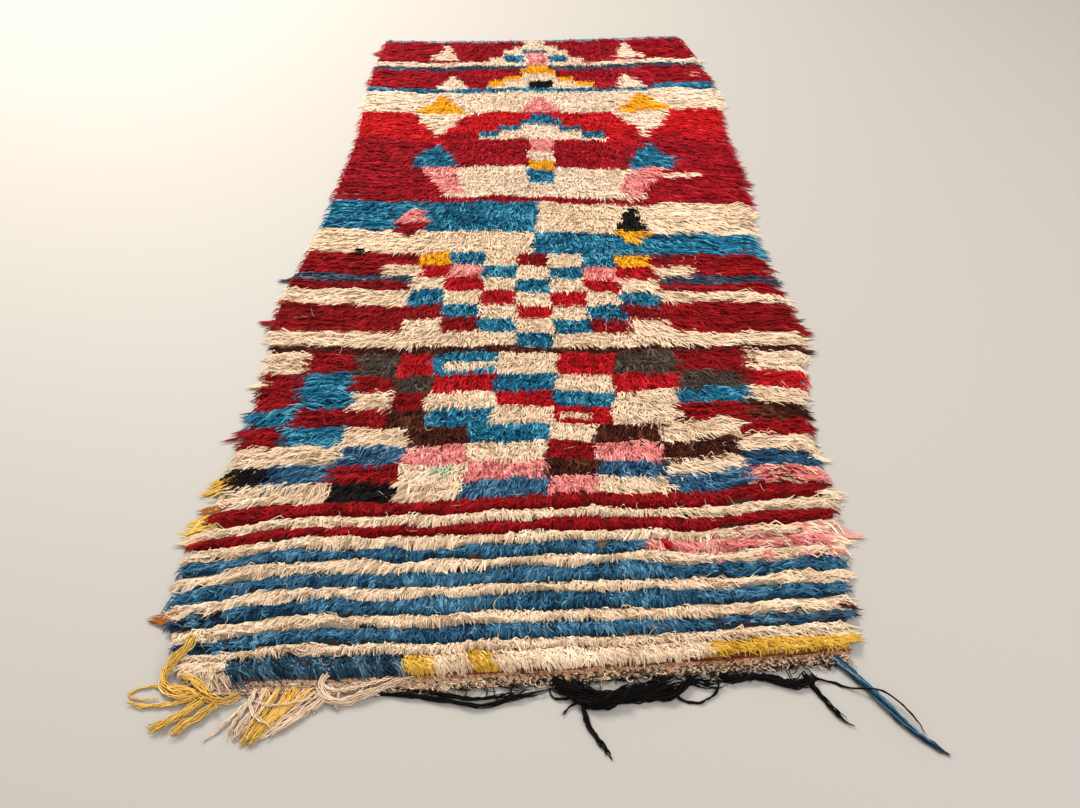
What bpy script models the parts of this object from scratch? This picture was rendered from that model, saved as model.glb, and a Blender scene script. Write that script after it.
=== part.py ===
"""Boucherouite rug: a knotted pile rug lying flat, with the loose yarns along its near end.

Metres, +Z up, +Y towards the rug's far end. Every piece is laid out in the weaver's plan, where
x runs across the rug, y runs from the near end to the far end and z = 0 is the floor. The last
step moves the plan so that the origin is under the middle of the whole rug's bounding box.
"""

import math

import bmesh
import bpy

# Driving sizes of the cloth
PILE_HEIGHT = 0.022  # from the floor to the tips of the pile
BAND_HEIGHT = 0.004  # the flat-woven band along the near end
BAND_WIDTH = 0.022
ROUND_WIDTH = 0.030  # how far in from a side the pile reaches its full height
SIDE_SHARE = 0.30  # height of the pile at its very side, as a share of its full height
UNEVEN = 0.0015  # how far the pile's top rises and falls
GAP = 0.0003  # between touching pieces
COLUMN_STEP = 0.060  # spacing of the cloth's grid, across and along
ROW_STEP = 0.050
EDGE_INSETS = (0.0, 0.010, 0.024)  # extra grid lines close to a pile edge

# One row for each section across the cloth, from the near end to the far end. y is the section's
# middle, left and right are its ends in x, rise is how much further on its right end lies than
# its left end, and bow is how far its middle lies beyond the straight line between them.
SECTIONS = (
    # y, left, right, rise, bow
    (0.018, -0.600, 0.515, 0.065, -0.012),
    (0.051, -0.641, 0.537, 0.060, -0.010),
    (0.130, -0.690, 0.547, 0.045, -0.008),
    (0.248, -0.695, 0.562, 0.042, -0.006),
    (0.386, -0.675, 0.570, 0.038, -0.004),
    (0.485, -0.662, 0.557, 0.025, -0.004),
    (0.633, -0.650, 0.564, 0.010, -0.005),
    (0.780, -0.652, 0.583, 0.000, -0.006),
    (0.859, -0.674, 0.596, -0.015, -0.004),
    (0.978, -0.665, 0.574, -0.030, 0.000),
    (1.125, -0.641, 0.547, -0.025, 0.000),
    (1.273, -0.618, 0.540, -0.028, 0.000),
    (1.391, -0.611, 0.552, -0.030, 0.000),
    (1.520, -0.603, 0.548, -0.020, -0.002),
    (1.717, -0.593, 0.532, 0.010, -0.006),
    (1.914, -0.603, 0.542, 0.030, -0.010),
    (2.012, -0.603, 0.537, 0.036, -0.012),
    (2.160, -0.599, 0.508, 0.045, -0.013),
    (2.352, -0.586, 0.465, 0.030, -0.018),
)
NEAR_END = SECTIONS[0][0]
FAR_END = SECTIONS[-1][0]

# The overcast cord along the far end
OVERCAST_RADIUS = 0.0045
OVERCAST_INSET = 0.006  # how far it stops short of each corner

# The comb of twisted warp ends along the near end
SPINE_WIDTH = 0.005
COMB_THICKNESS = 0.004
TOOTH_PITCH = 0.026
TOOTH_WIDTH = 0.007
TOOTH_SHORT = 0.004
TOOTH_LONG = 0.013
TOOTH_CLEARANCE = 0.0015  # between a tooth and a loose yarn

# The loose yarns that lie on the floor. root, middle and tip are radii, and route lists (x, y).
YARN_STEP = 0.012
YARNS = (
    {"node": "yellow_yarn_root", "colour": "yellow", "root": 0.005, "middle": 0.006, "tip": 0.005,
     "route": ((-0.672, 0.050), (-0.664, 0.012), (-0.642, -0.014), (-0.600, -0.030),
               (-0.560, -0.031), (-0.520, -0.026))},
    {"node": "yellow_yarn_loop", "colour": "yellow", "root": 0.004, "middle": 0.004, "tip": 0.004,
     "route": ((-0.670, -0.006), (-0.690, -0.003), (-0.705, -0.009), (-0.708, -0.019),
               (-0.690, -0.026), (-0.654, -0.029))},
    {"node": "yellow_yarn_end_left", "colour": "yellow", "root": 0.006, "middle": 0.005,
     "tip": 0.003, "route": ((-0.600, -0.045), (-0.630, -0.058), (-0.657, -0.073))},
    {"node": "yellow_yarn_end_right", "colour": "yellow", "root": 0.006, "middle": 0.005,
     "tip": 0.003, "route": ((-0.573, -0.046), (-0.598, -0.065), (-0.621, -0.083))},
    {"node": "cream_yarn_strand", "colour": "cream", "root": 0.003, "middle": 0.003, "tip": 0.002,
     "route": ((-0.498, -0.025), (-0.530, -0.060), (-0.566, -0.096))},
    {"node": "cream_yarn_bundle", "colour": "cream", "root": 0.008, "middle": 0.008, "tip": 0.005,
     "route": ((-0.436, -0.027), (-0.466, -0.055), (-0.497, -0.093))},
    {"node": "cream_yarn_loop", "colour": "cream", "root": 0.003, "middle": 0.004, "tip": 0.003,
     "route": ((-0.395, -0.023), (-0.366, -0.030), (-0.325, -0.024), (-0.280, -0.018))},
    {"node": "black_yarn_edge", "colour": "black", "root": 0.003, "middle": 0.004, "tip": 0.002,
     "route": ((-0.208, -0.015), (-0.160, -0.023), (-0.120, -0.027), (-0.070, -0.021),
               (-0.022, -0.008))},
    {"node": "black_yarn_middle", "colour": "black", "root": 0.004, "middle": 0.006, "tip": 0.003,
     "route": ((0.008, -0.008), (0.058, -0.015), (0.100, -0.022), (0.168, -0.007),
               (0.225, 0.005))},
    {"node": "black_tassel_middle", "colour": "black", "root": 0.005, "middle": 0.004,
     "tip": 0.002, "route": ((0.062, -0.033), (0.078, -0.070), (0.100, -0.116))},
    {"node": "black_yarn_loop", "colour": "black", "root": 0.002, "middle": 0.003, "tip": 0.002,
     "route": ((0.180, -0.021), (0.220, -0.025), (0.262, -0.019), (0.288, -0.002),
               (0.296, 0.010))},
    {"node": "black_yarn_right", "colour": "black", "root": 0.004, "middle": 0.005, "tip": 0.003,
     "route": ((0.335, 0.019), (0.380, 0.018), (0.415, 0.012))},
    {"node": "black_tassel_right", "colour": "black", "root": 0.005, "middle": 0.005,
     "tip": 0.002, "route": ((0.430, -0.001), (0.462, -0.026), (0.497, -0.060))},
    {"node": "black_strand_right", "colour": "black", "root": 0.002, "middle": 0.002,
     "tip": 0.0015, "route": ((0.440, 0.024), (0.470, 0.014), (0.500, 0.004), (0.523, -0.005))},
    {"node": "blue_tassel", "colour": "blue", "root": 0.006, "middle": 0.008, "tip": 0.002,
     "route": ((0.512, 0.031), (0.545, -0.002), (0.581, -0.055), (0.612, -0.085),
               (0.634, -0.105))},
)

# Name, colour and roughness of each wool
WOOLS = {
    "red": ((0.42, 0.012, 0.030, 1.0), 0.95),
    "warp_grey": ((0.16, 0.145, 0.13, 1.0), 0.90),
    "slate_blue": ((0.10, 0.17, 0.24, 1.0), 0.95),
    "yellow": ((0.72, 0.45, 0.07, 1.0), 0.85),
    "cream": ((0.68, 0.56, 0.40, 1.0), 0.90),
    "black": ((0.012, 0.011, 0.011, 1.0), 0.90),
    "blue": ((0.035, 0.14, 0.27, 1.0), 0.90),
}


def wool(name):
    """The plain material of one yarn colour."""
    material = bpy.data.materials.get(name)
    if material is None:
        colour, roughness = WOOLS[name]
        material = bpy.data.materials.new(name)
        material.use_nodes = True
        shader = material.node_tree.nodes["Principled BSDF"]
        shader.inputs["Base Color"].default_value = colour
        shader.inputs["Roughness"].default_value = roughness
        shader.inputs["Metallic"].default_value = 0.0
    return material


def section_at(y):
    """Left, right, rise and bow of the cloth at y, eased between the rows of SECTIONS."""
    for low, high in zip(SECTIONS, SECTIONS[1:]):
        if y <= high[0]:
            break
    share = min(max((y - low[0]) / (high[0] - low[0]), 0.0), 1.0)
    return [a + (b - a) * share for a, b in zip(low[1:], high[1:])]


def on_cloth(across, y):
    """The place in plan of a point of the cloth, with across from 0 at the left to 1."""
    left, right, rise, bow = section_at(y)
    x = left + across * (right - left)
    return x, y + rise * (across - 0.5) + bow * 4.0 * across * (1.0 - across)


def share_across(x, y):
    left, right = section_at(y)[:2]
    return (x - left) / (right - left)


def lines_between(start, end, step, start_insets, end_insets):
    """Grid lines from start to end: the insets at each end, and about one each step between."""
    first = start + start_insets[-1]
    last = end - end_insets[-1]
    count = max(1, round((last - first) / step))
    middle = [first + (last - first) * i / count for i in range(1, count)]
    return [start + d for d in start_insets] + middle + [end - d for d in reversed(end_insets)]


def rounded(inset):
    """Height share of the pile at this distance from its edge, on a quarter ellipse."""
    out = 1.0 - min(max(inset / ROUND_WIDTH, 0.0), 1.0)
    return SIDE_SHARE + (1.0 - SIDE_SHARE) * math.sqrt(1.0 - out * out)


def pile_top(x, y, side_inset):
    """Height of the cloth's top at y along it, this far in from its nearer side."""
    near_inset = y - NEAR_END - BAND_WIDTH
    if near_inset < 0.0:
        return BAND_HEIGHT
    share = rounded(side_inset) * rounded(near_inset) * rounded(FAR_END - y)
    swell = (math.sin(9.0 * x + 4.0 * y) + math.sin(5.0 * x - 11.0 * y)) / 2.0
    return BAND_HEIGHT + share * (PILE_HEIGHT - BAND_HEIGHT - UNEVEN + UNEVEN * swell)


def make_rug_field(collection):
    """The cloth: a flat underside, upright edges and the uneven top of the pile."""
    band_edge = NEAR_END + BAND_WIDTH
    rows = [NEAR_END, band_edge - 0.001]
    rows += lines_between(band_edge, FAR_END, ROW_STEP, EDGE_INSETS, EDGE_INSETS)
    left, right = SECTIONS[0][1:3]
    widest = right - left
    columns = lines_between(0.0, widest, COLUMN_STEP, EDGE_INSETS, EDGE_INSETS)
    x_cells = len(columns) - 1
    y_cells = len(rows) - 1

    bm = bmesh.new()
    bmesh.ops.create_grid(bm, x_segments=x_cells, y_segments=y_cells, size=1.0)
    for vert in bm.verts:
        inset = columns[round((vert.co.x + 1.0) / 2.0 * x_cells)]
        y = rows[round((vert.co.y + 1.0) / 2.0 * y_cells)]
        side_inset = min(inset, widest - inset)
        x, y_laid = on_cloth(inset / widest, y)
        vert.co = (x, y_laid, pile_top(x, y, side_inset))

    border = [edge for edge in bm.edges if edge.is_boundary]
    skirt = bmesh.ops.extrude_edge_only(bm, edges=border)["geom"]
    for item in skirt:
        if isinstance(item, bmesh.types.BMVert):
            item.co.z = 0.0
    hem = [edge for edge in bm.edges if edge.is_boundary]
    underside = bmesh.ops.holes_fill(bm, edges=hem, sides=0)["faces"]
    bmesh.ops.triangulate(bm, faces=underside)
    bmesh.ops.recalc_face_normals(bm, faces=bm.faces)
    mesh = bpy.data.meshes.new("rug_field")
    bm.to_mesh(mesh)
    bm.free()
    mesh.shade_smooth()
    mesh.set_sharp_from_angle(angle=math.radians(40.0))
    field = bpy.data.objects.new("rug_field", mesh)
    field.data.materials.append(wool("red"))
    collection.objects.link(field)
    return field


def smooth_route(points, step):
    """Points about one step apart on a Catmull-Rom curve through the given ones."""
    ends = [
        tuple(2.0 * a - b for a, b in zip(points[0], points[1])),
        tuple(2.0 * a - b for a, b in zip(points[-1], points[-2])),
    ]
    held = [ends[0], *points, ends[1]]
    route = []
    for p0, p1, p2, p3 in zip(held, held[1:], held[2:], held[3:]):
        count = max(1, round(math.dist(p1, p2) / step))
        for i in range(count):
            t = i / count
            route.append(tuple(
                0.5 * (2.0 * b + (c - a) * t + (2.0 * a - 5.0 * b + 4.0 * c - d) * t * t
                       + (3.0 * b - a - 3.0 * c + d) * t ** 3)
                for a, b, c, d in zip(p0, p1, p2, p3)
            ))
    return route + [tuple(points[-1])]


def yarn_radii(yarn, count):
    """The radius at each of count points, eased from the root through the middle to the tip."""
    radii = []
    for i in range(count):
        t = 2.0 * i / (count - 1)
        if t < 1.0:
            radii.append(yarn["root"] + (yarn["middle"] - yarn["root"]) * t)
        else:
            radii.append(yarn["middle"] + (yarn["tip"] - yarn["middle"]) * (t - 1.0))
    return radii


def make_tube(name, route, radii, colour, collection):
    """A round yarn that lies on the floor along the route."""
    curve = bpy.data.curves.new(name, "CURVE")
    curve.dimensions = "3D"
    curve.bevel_depth = 1.0
    curve.bevel_resolution = 2
    curve.use_fill_caps = True
    spline = curve.splines.new("POLY")
    spline.points.add(len(route) - 1)
    for point, (x, y), radius in zip(spline.points, route, radii):
        point.co = (x, y, radius, 1.0)
        point.radius = radius
    tube = bpy.data.objects.new(name, curve)
    tube.data.materials.append(wool(colour))
    collection.objects.link(tube)
    return tube


def make_far_overcast(collection):
    """The overcast cord, which follows the far end of the cloth."""
    inset = OVERCAST_INSET / (SECTIONS[-1][2] - SECTIONS[-1][1])
    offset = OVERCAST_RADIUS + GAP
    count = 30
    route = []
    for i in range(count + 1):
        x, y = on_cloth(inset + (1.0 - 2.0 * inset) * i / count, FAR_END)
        route.append((x, y + offset))
    radii = [OVERCAST_RADIUS] * len(route)
    return make_tube("far_overcast", route, radii, "slate_blue", collection)


def near_edge(x):
    """y of the cloth's near end at x."""
    return on_cloth(share_across(x, NEAR_END), NEAR_END)[1]


def room_below(x, yarns):
    """How far a tooth at x may reach below the near end before it meets a loose yarn."""
    reach = TOOTH_LONG
    edge = near_edge(x)
    for route, radii in yarns:
        for (yarn_x, yarn_y), radius in zip(route, radii):
            beside = abs(yarn_x - x) - radius - TOOTH_WIDTH / 2.0
            if beside < TOOTH_CLEARANCE + YARN_STEP / 2.0:
                reach = min(reach, edge - yarn_y - radius - TOOTH_CLEARANCE)
    return reach


def make_end_fringe(collection, yarns):
    """The comb of warp ends: a flat outline with a spine along the near end, and its teeth."""
    left, right = SECTIONS[0][1:3]
    count = round((right - left) / TOOTH_PITCH)
    pitch = (right - left) / count
    upper = []
    lower = []
    for i in range(count):
        middle = left + pitch * (i + 0.5)
        wanted = TOOTH_SHORT + (TOOTH_LONG - TOOTH_SHORT) * (0.5 + 0.5 * math.sin(2.6 * i))
        reach = min(wanted, room_below(middle, yarns) - GAP)
        sides = (middle - TOOTH_WIDTH / 2.0, middle + TOOTH_WIDTH / 2.0)
        upper.append((middle, near_edge(middle) - GAP))
        if reach > SPINE_WIDTH + GAP:
            tip = near_edge(middle) - GAP - reach
            lean = 0.25 * TOOTH_WIDTH * math.sin(1.7 * i)
            lower.append((sides[0], near_edge(sides[0]) - GAP - SPINE_WIDTH))
            lower.append((sides[0] + lean + 0.001, tip))
            lower.append((sides[1] + lean - 0.001, tip))
            lower.append((sides[1], near_edge(sides[1]) - GAP - SPINE_WIDTH))
        else:
            lower.append((middle, near_edge(middle) - GAP - SPINE_WIDTH))
    corners = [left + 0.002, right - 0.002]
    upper = [(corners[0], near_edge(corners[0]) - GAP), *upper,
             (corners[1], near_edge(corners[1]) - GAP)]
    outline = upper + list(reversed(lower))

    curve = bpy.data.curves.new("end_fringe", "CURVE")
    curve.dimensions = "2D"
    curve.fill_mode = "BOTH"
    curve.extrude = COMB_THICKNESS / 2.0
    spline = curve.splines.new("POLY")
    spline.points.add(len(outline) - 1)
    for point, (x, y) in zip(spline.points, outline):
        point.co = (x, y, 0.0, 1.0)
    spline.use_cyclic_u = True
    comb = bpy.data.objects.new("end_fringe", curve)
    comb.location.z = COMB_THICKNESS / 2.0
    comb.data.materials.append(wool("warp_grey"))
    collection.objects.link(comb)
    return comb


def centre_on_origin(pieces, collection):
    """Hangs every piece on one empty, which puts the bounding box's bottom centre at 0, 0, 0."""
    bpy.context.view_layer.update()
    graph = bpy.context.evaluated_depsgraph_get()
    places = []
    for piece in pieces:
        evaluated = piece.evaluated_get(graph)
        mesh = evaluated.to_mesh()
        places += [evaluated.matrix_world @ vert.co for vert in mesh.vertices]
        evaluated.to_mesh_clear()
    frame = bpy.data.objects.new("rug_frame", None)
    collection.objects.link(frame)
    for piece in pieces:
        piece.parent = frame
    for axis in range(2):
        low = min(place[axis] for place in places)
        high = max(place[axis] for place in places)
        frame.location[axis] = -(low + high) / 2.0
    bpy.context.view_layer.update()


def main():
    for item in list(bpy.data.objects):
        bpy.data.objects.remove(item, do_unlink=True)
    collection = bpy.data.collections.new("boucherouite_rug")
    bpy.context.scene.collection.children.link(collection)

    pieces = [make_rug_field(collection), make_far_overcast(collection)]
    laid = []
    for yarn in YARNS:
        route = smooth_route(yarn["route"], YARN_STEP)
        radii = yarn_radii(yarn, len(route))
        laid.append((route, radii))
        pieces.append(make_tube(yarn["node"], route, radii, yarn["colour"], collection))
    pieces.append(make_end_fringe(collection, laid))
    centre_on_origin(pieces, collection)


main()
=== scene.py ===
"""Looks of the boucherouite rug: its shaggy pile, ground weave, end band and loose yarns.

Metres, +Z up, +Y towards the rug's far end. As in the CAD model, everything is laid out in the
weaver's plan: x runs across the rug, y from its near end to its far end, and z = 0 is the floor.
The chart of the pattern is read in the cloth's own coordinates: across is 0 at the left side and
1 at the right, and along is the distance from the near end in metres.
"""

import math

import bpy
import numpy as np
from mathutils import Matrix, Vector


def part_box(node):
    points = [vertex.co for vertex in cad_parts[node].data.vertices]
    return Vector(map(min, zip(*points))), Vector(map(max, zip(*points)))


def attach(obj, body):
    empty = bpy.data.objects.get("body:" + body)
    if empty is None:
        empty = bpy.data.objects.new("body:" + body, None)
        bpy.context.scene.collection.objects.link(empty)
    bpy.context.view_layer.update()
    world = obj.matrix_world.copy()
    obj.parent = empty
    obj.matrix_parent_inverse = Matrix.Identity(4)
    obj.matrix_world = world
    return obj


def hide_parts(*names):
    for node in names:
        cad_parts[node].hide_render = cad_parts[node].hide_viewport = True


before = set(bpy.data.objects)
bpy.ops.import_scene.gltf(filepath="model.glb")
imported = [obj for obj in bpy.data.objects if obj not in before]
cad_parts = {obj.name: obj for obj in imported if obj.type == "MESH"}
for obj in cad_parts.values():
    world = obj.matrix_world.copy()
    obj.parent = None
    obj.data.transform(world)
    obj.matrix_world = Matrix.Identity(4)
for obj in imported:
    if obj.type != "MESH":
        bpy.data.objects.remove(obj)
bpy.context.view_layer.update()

RANDOM = np.random.default_rng(1907)

# ---------------------------------------------------------------- the cloth's outline and plan

# One row for each section across the cloth, as in the CAD model
SECTIONS = np.array((
    # along, left, right, rise, bow
    (0.018, -0.600, 0.515, 0.065, -0.012),
    (0.051, -0.641, 0.537, 0.060, -0.010),
    (0.130, -0.690, 0.547, 0.045, -0.008),
    (0.248, -0.695, 0.562, 0.042, -0.006),
    (0.386, -0.675, 0.570, 0.038, -0.004),
    (0.485, -0.662, 0.557, 0.025, -0.004),
    (0.633, -0.650, 0.564, 0.010, -0.005),
    (0.780, -0.652, 0.583, 0.000, -0.006),
    (0.859, -0.674, 0.596, -0.015, -0.004),
    (0.978, -0.665, 0.574, -0.030, 0.000),
    (1.125, -0.641, 0.547, -0.025, 0.000),
    (1.273, -0.618, 0.540, -0.028, 0.000),
    (1.391, -0.611, 0.552, -0.030, 0.000),
    (1.520, -0.603, 0.548, -0.020, -0.002),
    (1.717, -0.593, 0.532, 0.010, -0.006),
    (1.914, -0.603, 0.542, 0.030, -0.010),
    (2.012, -0.603, 0.537, 0.036, -0.012),
    (2.160, -0.599, 0.508, 0.045, -0.013),
    (2.352, -0.586, 0.465, 0.030, -0.018),
))
NEAR_END = SECTIONS[0, 0]
FAR_END = SECTIONS[-1, 0]
MEAN_WIDTH = float(np.mean(SECTIONS[:, 2] - SECTIONS[:, 1]))

field_low = np.array(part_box("rug_field")[0])
plan_low = np.array((SECTIONS[:, 1].min(), NEAR_END - SECTIONS[0, 3] / 2.0))
PLAN_SHIFT = field_low[:2] - plan_low


def on_cloth(across, along):
    """Plan coordinates, in the row's frame, of points given in the cloth's own coordinates."""
    held = np.clip(along, NEAR_END, FAR_END)
    left, right, rise, bow = (np.interp(held, SECTIONS[:, 0], SECTIONS[:, i]) for i in range(1, 5))
    x = left + across * (right - left)
    y = along + rise * (across - 0.5) + bow * 4.0 * across * (1.0 - across)
    return x + PLAN_SHIFT[0], y + PLAN_SHIFT[1]


def cloth_width(along):
    held = np.clip(along, NEAR_END, FAR_END)
    left, right = (np.interp(held, SECTIONS[:, 0], SECTIONS[:, i]) for i in (1, 2))
    return right - left


def wander(x, y, size, seed):
    """A smooth wandering value, mostly between -1 and 1, that changes over about this size."""
    rng = np.random.default_rng(seed)
    total = np.zeros(np.broadcast(x, y).shape)
    for turn in rng.uniform(0.0, 2.0 * math.pi, 6):
        pitch = size * rng.uniform(0.7, 1.6)
        phase = rng.uniform(0.0, 2.0 * math.pi)
        total += np.sin((x * math.cos(turn) + y * math.sin(turn)) * 2.0 * math.pi / pitch + phase)
    return total / 2.6


# How much farther the right side of a row lies than its left, against the cloth's own sections
ROW_TILT = np.array((
    # along, tilt
    (0.000, 0.000), (0.300, 0.000), (0.390, 0.020), (0.500, 0.022), (0.560, 0.015), (0.860, 0.016),
    (0.950, 0.012), (1.100, 0.012), (1.200, 0.000), (1.900, 0.000), (2.010, -0.016),
    (2.240, -0.018), (2.352, 0.000),
))


# The weaver's wavering: how far, and over what size, how it runs along the cloth, and its seed
WAVERS = ((0.0046, 0.34, 0.5, 11), (0.0032, 0.10, 2.0, 12), (0.0018, 0.045, 3.0, 14))
SIDE_WAVER = (0.0035, 0.16, 3.0, 13)
LEFT_CURVE = {"rise": 0.025, "width": 0.13}  # how the stripes curve at their left ends
DIP = {"across": 0.705, "along": 0.245, "width": 0.045, "depth": 0.050, "fall": 0.009}


def laid(across, along):
    """Plan coordinates of a point of the cloth, with the wavering of the weaver's rows."""
    x = across * MEAN_WIDTH
    inside = np.clip((along - 0.045) / 0.05, 0.0, 1.0) * np.clip((FAR_END - along) / 0.06, 0.0, 1.0)
    line = sum(far * wander(x, along * run, size, seed) for far, size, run, seed in WAVERS)
    striped = np.clip((0.44 - along) / 0.10, 0.0, 1.0) * np.clip((along - 0.05) / 0.08, 0.0, 1.0)
    line += striped * LEFT_CURVE["rise"] * np.exp(-((across / LEFT_CURVE["width"]) ** 2))
    line += np.interp(along, ROW_TILT[:, 0], ROW_TILT[:, 1]) * (0.5 - across)
    line -= DIP["fall"] * np.exp(-(((across - DIP["across"]) / DIP["width"]) ** 2)
                                 - ((along - DIP["along"]) / DIP["depth"]) ** 2)
    far, size, run, seed = SIDE_WAVER
    side = far * wander(x, along * run, size, seed)
    side *= np.clip(np.minimum(across, 1.0 - across) / 0.1, 0.0, 1.0)
    return on_cloth(across + side * inside, along - line * inside)


# ---------------------------------------------------------------- camera, light and floor

CAMERA_HEIGHT = 1.38
CAMERA_BACK = 0.575  # from the near end's middle to the point under the camera
CAMERA_DOWN = math.radians(48.6)
CAMERA_TURN = math.radians(0.614)  # to the left, about the camera's own upright axis
LENS = 28.0
SENSOR_WIDTH = 36.0
FLOOR_REACH = 30.0
FLOOR_COLOUR = (0.36, 0.344, 0.320, 1.0)


def placed(thing):
    """Puts an object in the scene and returns it."""
    bpy.context.scene.collection.objects.link(thing)
    return thing


def new_material(name):
    """A new material with nodes, its tree and its shader."""
    material = bpy.data.materials.new(name)
    material.use_nodes = True
    return material, material.node_tree, material.node_tree.nodes["Principled BSDF"]


def make_camera():
    data = bpy.data.cameras.new("camera")
    data.sensor_width = SENSOR_WIDTH
    data.lens = LENS
    data.clip_start = 0.01
    camera = placed(bpy.data.objects.new("camera", data))
    camera.location = (PLAN_SHIFT[0], PLAN_SHIFT[1] - CAMERA_BACK, CAMERA_HEIGHT)
    camera.rotation_mode = "YXZ"
    camera.rotation_euler = (math.pi / 2.0 - CAMERA_DOWN, CAMERA_TURN, 0.0)
    bpy.context.scene.camera = camera


def make_area(name, place, target, size, power, colour):
    data = bpy.data.lights.new(name, "AREA")
    data.shape = "SQUARE"
    data.size = size
    data.energy = power
    data.color = colour
    lamp = placed(bpy.data.objects.new(name, data))
    lamp.location = place
    aim = np.array(target, float) - np.array(place, float)
    flat = math.hypot(aim[0], aim[1])
    lamp.rotation_euler = (math.pi / 2.0 + math.atan2(aim[2], flat), 0.0,
                           math.atan2(-aim[0], aim[1]))


def make_light():
    world = bpy.data.worlds.new("studio")
    bpy.context.scene.world = world
    world.use_nodes = True
    background = world.node_tree.nodes["Background"]
    background.inputs["Color"].default_value = (1.0, 0.96, 0.92, 1.0)
    background.inputs["Strength"].default_value = 0.68
    make_area("key", (-2.2, 2.6, 3.4), (0.0, 0.2, 0.0), 1.8, 350.0, (1.0, 0.95, 0.88))
    make_area("fill", (2.4, -1.6, 3.0), (0.0, -0.2, 0.0), 2.6, 86.0, (1.0, 0.97, 0.94))
    bpy.context.scene.view_settings.view_transform = "Standard"


def make_floor():
    mesh = bpy.data.meshes.new("floor")
    corners = [(x * FLOOR_REACH, y * FLOOR_REACH, 0.0) for x, y in ((-1, -1), (1, -1), (1, 1), (-1, 1))]
    mesh.from_pydata(corners, [], [(0, 1, 2, 3)])
    floor = placed(bpy.data.objects.new("floor", mesh))
    material, _, shader = new_material("floor")
    shader.inputs["Base Color"].default_value = FLOOR_COLOUR
    shader.inputs["Roughness"].default_value = 0.7
    mesh.materials.append(material)


# ---------------------------------------------------------------- yarn colours and materials

# One row for each yarn colour: its dark, middle and light tones
YARN_TONES = {
    # colour: (dark, middle, light)
    "ivory": ((0.48, 0.34, 0.24), (0.82, 0.62, 0.45), (0.95, 0.82, 0.68)),
    "cream": ((0.48, 0.32, 0.19), (0.82, 0.61, 0.42), (0.94, 0.79, 0.60)),
    "scarlet": ((0.22, 0.001, 0.002), (0.50, 0.003, 0.006), (0.70, 0.022, 0.030)),
    "ruby": ((0.14, 0.001, 0.002), (0.40, 0.002, 0.006), (0.60, 0.016, 0.024)),
    "crimson": ((0.070, 0.001, 0.002), (0.224, 0.002, 0.004), (0.42, 0.009, 0.014)),
    "cherry": ((0.090, 0.001, 0.003), (0.280, 0.002, 0.008), (0.50, 0.012, 0.026)),
    "teal": ((0.001, 0.018, 0.050), (0.007, 0.138, 0.250), (0.110, 0.410, 0.560)),
    "azure": ((0.002, 0.014, 0.040), (0.025, 0.091, 0.178), (0.120, 0.285, 0.435)),
    "cobalt": ((0.002, 0.015, 0.038), (0.026, 0.108, 0.196), (0.125, 0.290, 0.430)),
    # partly painted shade: a darker blue than cobalt for the last row, which lies in shade, and a deep blue
    # yarn in its own right
    "indigo": ((0.002, 0.008, 0.018), (0.020, 0.058, 0.098), (0.095, 0.200, 0.285)),
    "navy": ((0.006, 0.010, 0.022), (0.032, 0.048, 0.080), (0.170, 0.210, 0.270)),
    "gold": ((0.50, 0.17, 0.002), (0.80, 0.34, 0.005), (0.95, 0.50, 0.034)),
    "straw": ((0.36, 0.17, 0.012), (0.67, 0.385, 0.048), (0.88, 0.65, 0.210)),
    "lemon": ((0.50, 0.27, 0.035), (0.82, 0.51, 0.110), (0.97, 0.75, 0.34)),
    "peach": ((0.50, 0.18, 0.050), (0.82, 0.36, 0.130), (0.97, 0.62, 0.36)),
    "sage": ((0.22, 0.26, 0.15), (0.46, 0.52, 0.34), (0.70, 0.74, 0.56)),
    "pink": ((0.40, 0.070, 0.070), (0.78, 0.245, 0.225), (0.94, 0.540, 0.490)),
    "brown": ((0.012, 0.002, 0.001), (0.050, 0.008, 0.004), (0.140, 0.045, 0.020)),
    "grey": ((0.020, 0.013, 0.009), (0.056, 0.040, 0.030), (0.140, 0.110, 0.088)),
    "black": ((0.001, 0.001, 0.001), (0.004, 0.003, 0.003), (0.020, 0.015, 0.013)),
    "slate": ((0.080, 0.120, 0.160), (0.200, 0.265, 0.330), (0.400, 0.470, 0.530)),
    "rust": ((0.060, 0.012, 0.006), (0.150, 0.034, 0.018), (0.280, 0.090, 0.055)),
    "amber": ((0.120, 0.035, 0.004), (0.310, 0.098, 0.012), (0.540, 0.225, 0.045)),
    "greige": ((0.230, 0.150, 0.095), (0.480, 0.330, 0.220), (0.740, 0.560, 0.410)),
    "tan": ((0.200, 0.080, 0.035), (0.440, 0.210, 0.105), (0.660, 0.400, 0.240)),
}
COLOURS = tuple(YARN_TONES)
INDEX = {colour: i for i, colour in enumerate(COLOURS)}
BLUES = ("teal", "azure", "cobalt", "indigo")
REDS = ("scarlet", "ruby", "crimson", "cherry")

UV_NAME = "OFBake"
STRAND_SPAN = 0.012  # how much of the map's width one strand takes
MAP_MARGIN = 0.01
MAP_LENGTH = 0.98


def node_of(tree, kind, **values):
    node = tree.nodes.new(kind)
    for name, value in values.items():
        setattr(node, name, value)
    return node


def mixed_by(tree, blend, first, second, factor=1.0):
    """A colour Mix node's result. factor may be a number or a socket."""
    node = node_of(tree, "ShaderNodeMix", data_type="RGBA", blend_type=blend)
    if isinstance(factor, float):
        node.inputs["Factor"].default_value = factor
    else:
        tree.links.new(factor, node.inputs["Factor"])
    tree.links.new(first, node.inputs["A"])
    tree.links.new(second, node.inputs["B"])
    return node.outputs["Result"]


def ramp_of(tree, value, stops):
    """A colour ramp over value, with stops of (position, colour)."""
    node = node_of(tree, "ShaderNodeValToRGB")
    ramp = node.color_ramp
    while len(ramp.elements) < len(stops):
        ramp.elements.new(0.5)
    for element, (position, colour) in zip(ramp.elements, stops):
        element.position = position
        element.color = (*colour, 1.0)
    tree.links.new(value, node.inputs["Fac"])
    return node.outputs["Color"]


def grey(value):
    return (value, value, value)


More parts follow.
